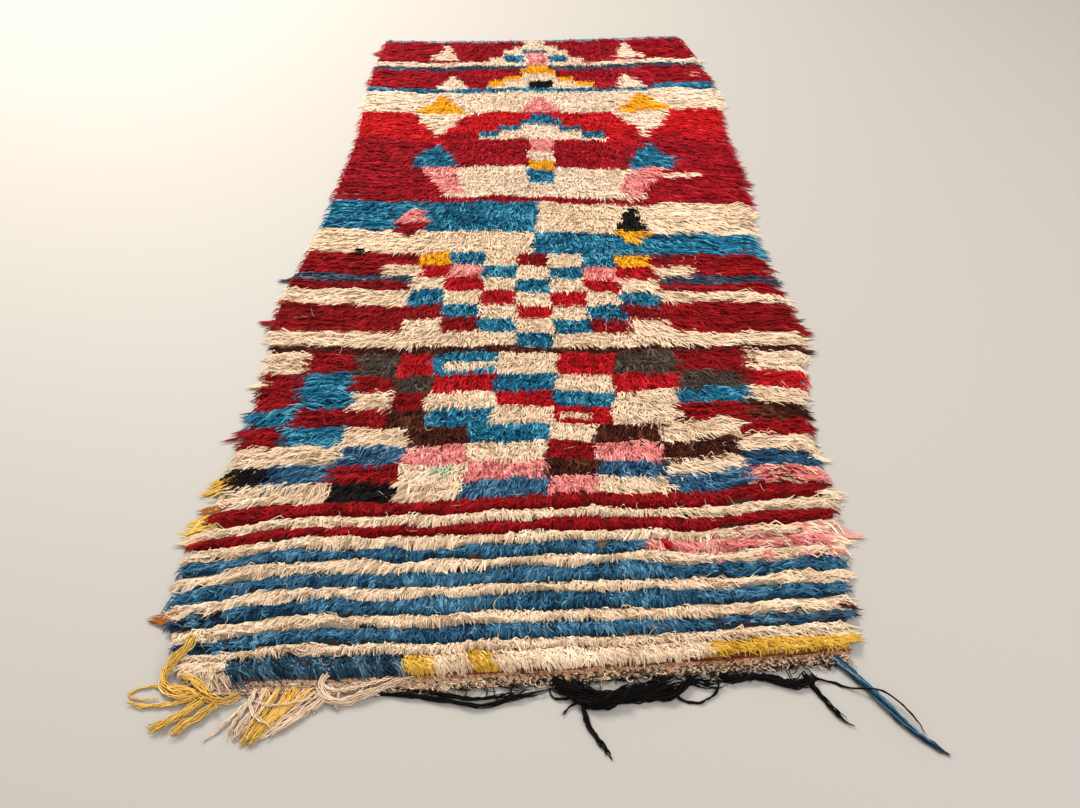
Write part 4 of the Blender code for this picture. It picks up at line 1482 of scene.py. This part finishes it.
def make_loose_yarns():
    """The yarns that lie on the floor, each of many fine strands. Returns the pieces by name."""
    rng = np.random.default_rng(53)
    batches = {}
    piece_of = {colour: piece for piece, (_, colours) in YARN_PIECES.items() for colour in colours}
    for colour, radius, pitch, route in (*LOOSE_YARNS, *fan_yarns(rng)):
        piece = piece_of[colour]
        rings = 22 if len(route) > 4 else 14
        narrow = 0.55 if piece == "blue_yarns" else 0.0
        courses, radii = hank(route, radius, pitch, rings, rng, narrow=narrow)
        tone = rng.normal(0.52, 0.18, len(courses))
        batches.setdefault((piece, colour), []).append(cord_batch(courses, radii, tone, 3))
        hairs, hair_radii = frizz(courses, rng, 2 * len(courses))
        batches[(piece, colour)].append(
            cord_batch(hairs, hair_radii, rng.uniform(0.5, 1.0, len(hairs)), 3))
    pieces = {}
    for (piece, colour), parts in batches.items():
        name = f"{piece}_{colour}" if piece in pieces else piece
        pieces[name] = add_piece(name, joined_mesh(name, parts), wool(colour, 0.95, 0.28))
    return pieces


# ---------------------------------------------------------------- the near band and its warp ends

BAND_ROWS = 8
BAND_STITCH = 0.0043
BAND_UPPER_ROWS = 3  # the rows next to the pile
RUST_WEFTS = 3
RUST_RADIUS = 0.0019
EDGE_MARGIN = 0.004  # how far the band's yarns stop short of either side, across
WARP_ENDS = 430


def along_edge(along, height, rings, lap=0.0):
    """A course across the cloth at one place along it."""
    across = np.linspace(EDGE_MARGIN + lap, 1.0 - EDGE_MARGIN - lap, rings + 1)
    x, y = on_cloth(across, np.full(rings + 1, along))
    return np.stack([x, y, np.full(rings + 1, height)], 1)


def stitch_colours(across, upper, pick):
    """The colour of each stitch of one row: tan prevails in the upper rows right of the middle."""
    warm = np.clip((across - 0.30) / 0.10, 0.0, 1.0) * (0.75 if upper else 0.10) + 0.07
    cool = 0.08 + (0.0 if upper else 0.30) * np.clip((across - 0.40) / 0.10, 0.0, 1.0)
    return np.where(pick < warm, "tan", np.where(pick > 1.0 - cool, "grey", "greige"))


def make_band():
    """The flat-woven band: rows of twined stitches, as pieces of one colour each."""
    rng = np.random.default_rng(71)
    pitch = (PILE_NEAR - NEAR_END) / BAND_ROWS
    count = round(float(cloth_width(NEAR_END)) / BAND_STITCH)
    half = 0.62 * BAND_STITCH / MEAN_WIDTH
    made = {}
    for i in range(BAND_ROWS):
        across = (np.arange(count) + 0.5 * (i % 2) + rng.uniform(-0.2, 0.2, count)) / count
        across = EDGE_MARGIN + (1.0 - 2.0 * EDGE_MARGIN) * across
        along = NEAR_END + pitch * (i + 0.5) + 0.0010 * wander(across * MEAN_WIDTH, i * 0.01, 0.05, 72)
        slant = rng.normal(0.0011, 0.0006, count) * (1.0 if i % 2 else -1.0)
        centres = np.empty((count, 3, 3))
        for j, (step, up) in enumerate(((-1.0, 0.0), (0.1, 0.0013), (1.0, 0.0))):
            x, y = on_cloth(across + half * step, along + slant * step)
            centres[:, j] = np.stack([x, y, 0.0036 + up + rng.uniform(0.0, 0.0007, count)], 1)
        radii = pitch * rng.uniform(0.50, 0.66, (count, 1)) * np.array((0.9, 1.0))[None]
        tone = rng.normal(0.50, 0.26, count)
        upper = i >= BAND_ROWS - BAND_UPPER_ROWS
        kind = stitch_colours(across, upper, rng.uniform(0.0, 1.0, count))
        for name in ("tan", "grey", "greige"):
            chosen = kind == name
            if chosen.any():
                made.setdefault(name, []).append(
                    strands(centres[chosen], radii[chosen], tone[chosen], ARCH, None, 0.9))
    pieces = []
    for colour, batches in made.items():
        name = f"weft_band_{colour}"
        mesh = joined_mesh(name, batches)
        pieces.append(add_piece(name, mesh, wool(colour, 0.85, 0.5)))
    return pieces


def make_rust_wefts():
    """The few rust wefts between the band and the pile, as one piece."""
    rings = 160
    steps = np.arange(rings + 1)
    courses, radii, tone = [], [], []
    for i in range(RUST_WEFTS):
        course = along_edge(PILE_NEAR - 0.001 + 0.0032 * i, 0.0052 + 0.0012 * i, rings, 0.01)
        course[:, 1] += 0.0012 * np.sin(steps * 0.33 + 2.0 * i)
        course[:, 2] += 0.0008 * np.sin(steps * 0.47 + i)
        courses.append(course)
        radii.append(np.full(rings, RUST_RADIUS))
        tone.append(0.35 + 0.2 * i)
    mesh = joined_mesh("rust_weft", [cord_batch(courses, radii, tone, 5)])
    return add_piece("rust_weft", mesh, wool("rust", 0.9, 0.5))


# Shares of each colour among the warp ends, and their size, up to a place across
WARP_KINDS = ("greige", "grey", "black", "cream")
WARP_ZONES = (
    # across, shares of the kinds, size
    (0.25, (0.55, 0.14, 0.00, 0.31), 0.60),
    (0.40, (0.22, 0.24, 0.04, 0.50), 1.00),
    (0.60, (0.20, 0.28, 0.36, 0.16), 1.30),
    (1.01, (0.18, 0.32, 0.42, 0.08), 1.05),
)


def make_warp_ends():
    """Short curled warp ends along the near edge, in grey, cream and black."""
    rng = np.random.default_rng(83)
    rings = 8
    share = np.linspace(0.0, 1.0, rings + 1)
    made = {}
    for i in range(WARP_ENDS):
        across = (i + rng.uniform(0.1, 0.9)) / WARP_ENDS
        odds, size = next(zone[1:] for zone in WARP_ZONES if across < zone[0])
        colour = str(rng.choice(WARP_KINDS, p=odds))
        x, y = (float(v) for v in on_cloth(np.array(across), np.array(NEAR_END + 0.004)))
        length = rng.uniform(0.009, 0.026) * size
        angle = -math.pi / 2.0 + rng.normal(0.0, 0.6) + (
            rng.choice((-1.0, 1.0)) * rng.uniform(0.3, 1.7) * math.pi * share)
        course = np.empty((rings + 1, 3))
        right, forward = walked(angle)
        course[:, 0] = x + right * length / rings
        course[:, 1] = np.minimum(y + forward * length / rings, y + 0.006)
        course[:, 2] = 0.0042 + 0.0050 * size * np.sin(share * math.pi) * rng.uniform(0.2, 1.2)
        course[:, 2] -= share * 0.0022
        thick = rng.uniform(0.0009, 0.0017)
        made.setdefault(colour, []).append((course, np.full(rings, thick), rng.uniform(0.2, 1.0)))
    pieces = []
    for colour, ends in made.items():
        courses, radii, tone = zip(*ends)
        name = f"warp_ends_{colour}"
        mesh = joined_mesh(name, [cord_batch(courses, radii, tone, 3)])
        pieces.append(add_piece(name, mesh, wool(colour, 0.9, 0.5)))
    return pieces


OVERCAST_TURNS = 96
OVERCAST_HAIRS = 700


def make_overcast():
    """The slate blue cord sewn round the far end: a core and its closely wound yarn."""
    rng = np.random.default_rng(91)
    rings = OVERCAST_TURNS * 9
    core = along_edge(FAR_END, 0.0052, 120, 0.006)
    core[:, 1] += 0.0050
    share = np.linspace(0.0, 1.0, rings + 1)
    at = np.linspace(0.0, 1.0, len(core))
    wound = np.stack([np.interp(share, at, core[:, i]) for i in range(3)], 1)
    turn = share * OVERCAST_TURNS * 2.0 * math.pi
    swell = 0.0031 * (1.0 + 0.12 * np.sin(share * 57.0) + 0.1 * np.sin(share * 23.0))
    wound[:, 1] += swell * np.cos(turn)
    wound[:, 2] += swell * np.sin(turn)
    wound[:, 2] += 0.0008 * np.sin(share * 31.0)
    batches = [
        cord_batch([core], [np.full(120, 0.0030)], [0.3], 6),
        cord_batch([wound], [np.full(rings, 0.0016) * rng.uniform(0.85, 1.15, rings)], [0.6], 4),
    ]
    hairs, hair_radii = frizz(wound[None], rng, OVERCAST_HAIRS)
    batches.append(cord_batch(hairs, hair_radii * 1.3, rng.uniform(0.5, 1.0, len(hairs)), 3))
    return add_piece("far_overcast_cord", joined_mesh("far_overcast_cord", batches),
                     wool("slate", 0.9, 0.5))


STRAY_THREADS = 150


def make_stray_threads():
    """Long fine threads that have worked loose and lie on top of the pile."""
    rng = np.random.default_rng(101)
    rings = 7
    share = np.linspace(0.0, 1.0, rings + 1)
    courses, radii, tone = [], [], []
    for _ in range(STRAY_THREADS):
        across = rng.uniform(0.06, 0.95)
        along = 0.06 + 1.1 * rng.uniform(0.0, 1.0) ** 1.8
        heading = rng.uniform(-math.pi, 0.0)
        reach = rng.uniform(0.014, 0.038)
        bend = rng.normal(0.0, 2.2)
        angle = heading + bend * share
        step = reach / rings
        right, forward = walked(angle)
        path_x = np.clip(across + right * step / MEAN_WIDTH, 0.02, 0.98)
        path_y = along + forward * step
        x, y = laid(path_x, path_y)
        z = 0.4 * relief(path_x, path_y) + 0.6 * CREST + 0.0042 + 0.0016 * np.sin(share * math.pi)
        z[0] -= 0.005
        courses.append(np.stack([x, y, z], 1))
        radii.append(np.full(rings, rng.uniform(0.0003, 0.0006)))
        tone.append(rng.uniform(0.6, 1.0))
    mesh = joined_mesh("stray_threads", [cord_batch(courses, radii, tone, 3)])
    return add_piece("stray_threads", mesh, wool("cream", 0.95))


# ---------------------------------------------------------------- the making


def main():
    make_camera()
    make_light()
    make_floor()
    ground, area = make_ground()
    pile = make_pile()
    band = [*make_band(), make_rust_wefts()]
    ends = make_warp_ends()
    cord = make_overcast()
    threads = make_stray_threads()
    yarns = make_loose_yarns()
    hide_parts("rug_field")
    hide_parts("far_overcast")
    for piece in ends:
        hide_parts("end_fringe")
    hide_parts("yellow_yarn_root", "yellow_yarn_loop",
                "yellow_yarn_end_left", "yellow_yarn_end_right")
    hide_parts("cream_yarn_strand", "cream_yarn_bundle",
                "cream_yarn_loop")
    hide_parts("black_yarn_edge", "black_yarn_middle",
                "black_tassel_middle", "black_yarn_loop", "black_yarn_right",
                "black_tassel_right", "black_strand_right")
    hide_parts("blue_tassel")


main()
